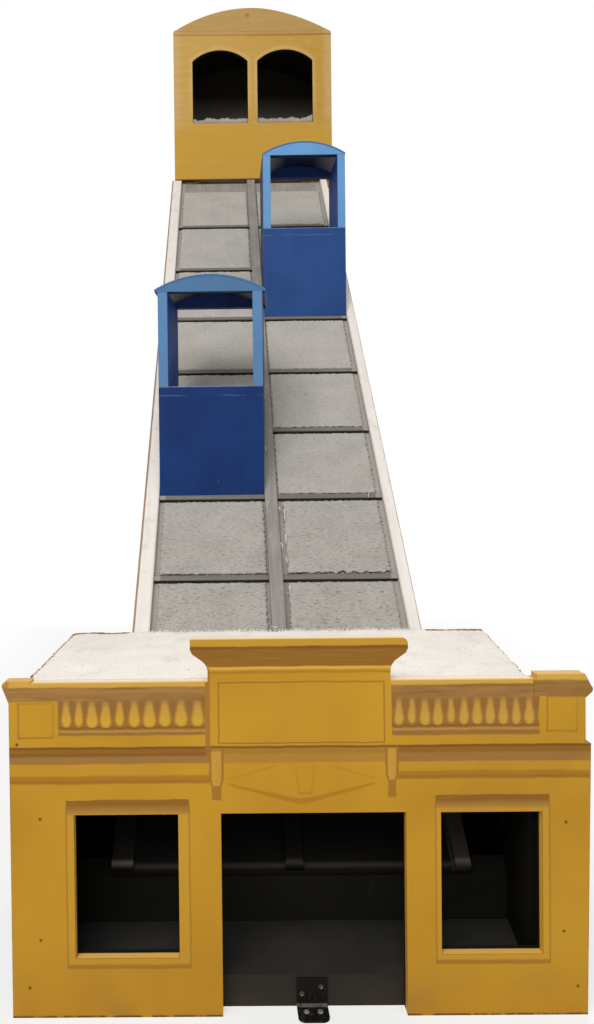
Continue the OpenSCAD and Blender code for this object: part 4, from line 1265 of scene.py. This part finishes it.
# %% Laps over the sills
def nest_lap(middle, corner, seed):
    """The carpet's front edge where it laps over an arch's sill: a long low roll, lumpy along its length, and
    pushed up by corner millimetres at its right end."""
    along, turn = np.meshgrid(np.linspace(middle - ARCH_HALF + 1, middle + ARCH_HALF - 1, 70),
                              np.linspace(0, np.pi, 12))
    tall = 17 + 2.2 * ripple(along, 0 * along, 40, seed) + 1.0 * ripple(along, 0 * along, 11, seed + 1)
    tall = tall + corner * np.exp(-((middle + ARCH_HALF - along) / 16) ** 2)
    tall = tall * (1 + 0.08 * ripple(along, 40 * turn, 9, seed + 2))
    round_y = UPPER_FRONT_Y + 13 - 9.5 * np.cos(turn) * (1 + 0.05 * ripple(along, 40 * turn, 12, seed + 3))
    return on_level(along, round_y, ARCH_SILL + 0.2 + tall * np.sin(turn) ** 0.6)


# painted shade: the laps are a darker, browner copy of the white pile, standing in for the shade they lie in
shaded_lap_finish = carpet_finish("nest_lap_pile_painted_shade", (174, 164, 153), (150, 141, 131), (112, 104, 96), 3.0)
for side, offset, corner, seed in (("left", -ARCH_OFF, 0.0, 41), ("right", ARCH_OFF, 9.0, 47)):
    roll = nest_lap(UPPER_X + offset, corner, seed)
    rows, columns = roll.shape[:2]
    index = np.arange(rows * columns).reshape(rows, columns)
    under = np.stack([index[0, :-1], index[0, 1:], index[-1, 1:], index[-1, :-1]], -1)
    add_piece(f"upper_nest_lap_{side}", roll.reshape(-1, 3),
              [grid_faces(rows, columns), under, index[:, [0, -1]].T], shaded_lap_finish, "white_carpet")
print("two laps of", roll[..., 0].size, "points")

# %% [markdown]
# Screws hold the toy together. On the yellow board they are sunk and painted over, so only a shallow ring
# shows. On the steel angle four heads are bare. All are turned shapes: a profile of radius and height, swept
# round an axis as one array.

# %% Screws
def turned(centres, out, profile, sides=20):
    """A profile of (radius, height) pairs swept round the out axis, which is square to X, at each centre, and
    closed at its first and last ring."""
    out = np.array(out, float)
    side = np.cross(out, (1.0, 0.0, 0.0))
    angle = np.linspace(0, 2 * np.pi, sides, endpoint=False)
    ring = np.cos(angle)[:, None] * side + np.sin(angle)[:, None] * np.cross(out, side)
    radius, height = np.array(profile).T
    shape = radius[:, None, None] * ring[None] + height[:, None, None] * out
    points = (np.array(centres)[:, None, None, :] + shape[None]) * MM + (0.0, FRONT_Y, 0.0)
    return points.reshape(-1, 3), tube_faces(len(centres), len(radius), sides)


def screw_finish(name, colour, dark, metallic, roughness):
    """Zinc or paint on a screw's head, darker in the hollow that the noise leaves."""
    material, place, x, y, z = new_finish(name)
    stain = place.noise(2.2, 3)
    return dress(material, stain.rise(0.35, 0.6).mix(dark, colour), roughness, metallic=metallic)


zinc = screw_finish("screw_zinc", (150, 146, 139), (92, 88, 82), 0.3, 0.6)
dark_ring = screw_finish("screw_dark", (116, 112, 106), (28, 26, 24), 0.8, 0.4)
sunk = screw_finish("screw_painted", (128, 88, 34), (84, 56, 26), 0.0, 0.5)
HEAD = [(0.4, 1.1), (1.0, 1.15), (1.3, 1.9), (2.6, 1.7), (3.4, 1.0), (3.6, 0.0)]
RING = [(0.3, 0.1), (1.6, 0.12), (1.9, 0.7), (2.6, 0.7), (2.9, 0.05)]
DIMPLE = [(0.3, 0.05), (1.0, 0.06), (1.4, 0.2), (1.8, 0.02)]
FOOT_X, LEAF_Y, LEAF = (8.0, 24.0), 15.5, [(26, 24), (4, 16)]  # on the steel angle's foot and upright leaf
SUNK = [(-295.7, 230), (-296.6, 90), (-310, 35), (-321, 316), (306, 222), (303, 96.5), (318.7, 33)]
UP, FORWARD = (0, 0, 1), (0, -1, 0)
for name, centres, out, profile, finish, slot in (
        ("bracket_foot_screws", [(x, 3, 2.5) for x in FOOT_X], UP, HEAD, zinc, "black_steel"),
        ("bracket_leaf_screws", [(x, LEAF_Y, z) for x, z in LEAF], FORWARD, RING, dark_ring, "black_steel"),
        ("front_board_screws", [(x, 0.0, z) for x, z in SUNK], FORWARD, DIMPLE, sunk, "station_yellow")):
    add_piece(name, *turned(centres, out, profile), finish, slot)
print(len(FOOT_X) + len(LEAF) + len(SUNK), "screws")

# %% [markdown]
# Last, the size is measured. Carpet may stand a little proud of the solids, so the dressed toy's box is held
# against that of its boards, and how far it grew is printed.

# %% Measure and finish
low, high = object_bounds()
grown = [round(max(a - b, d - c) / MM, 1) for a, b, c, d in zip(cad_low, low, cad_high, high)]
print("grown by", grown, "mm")
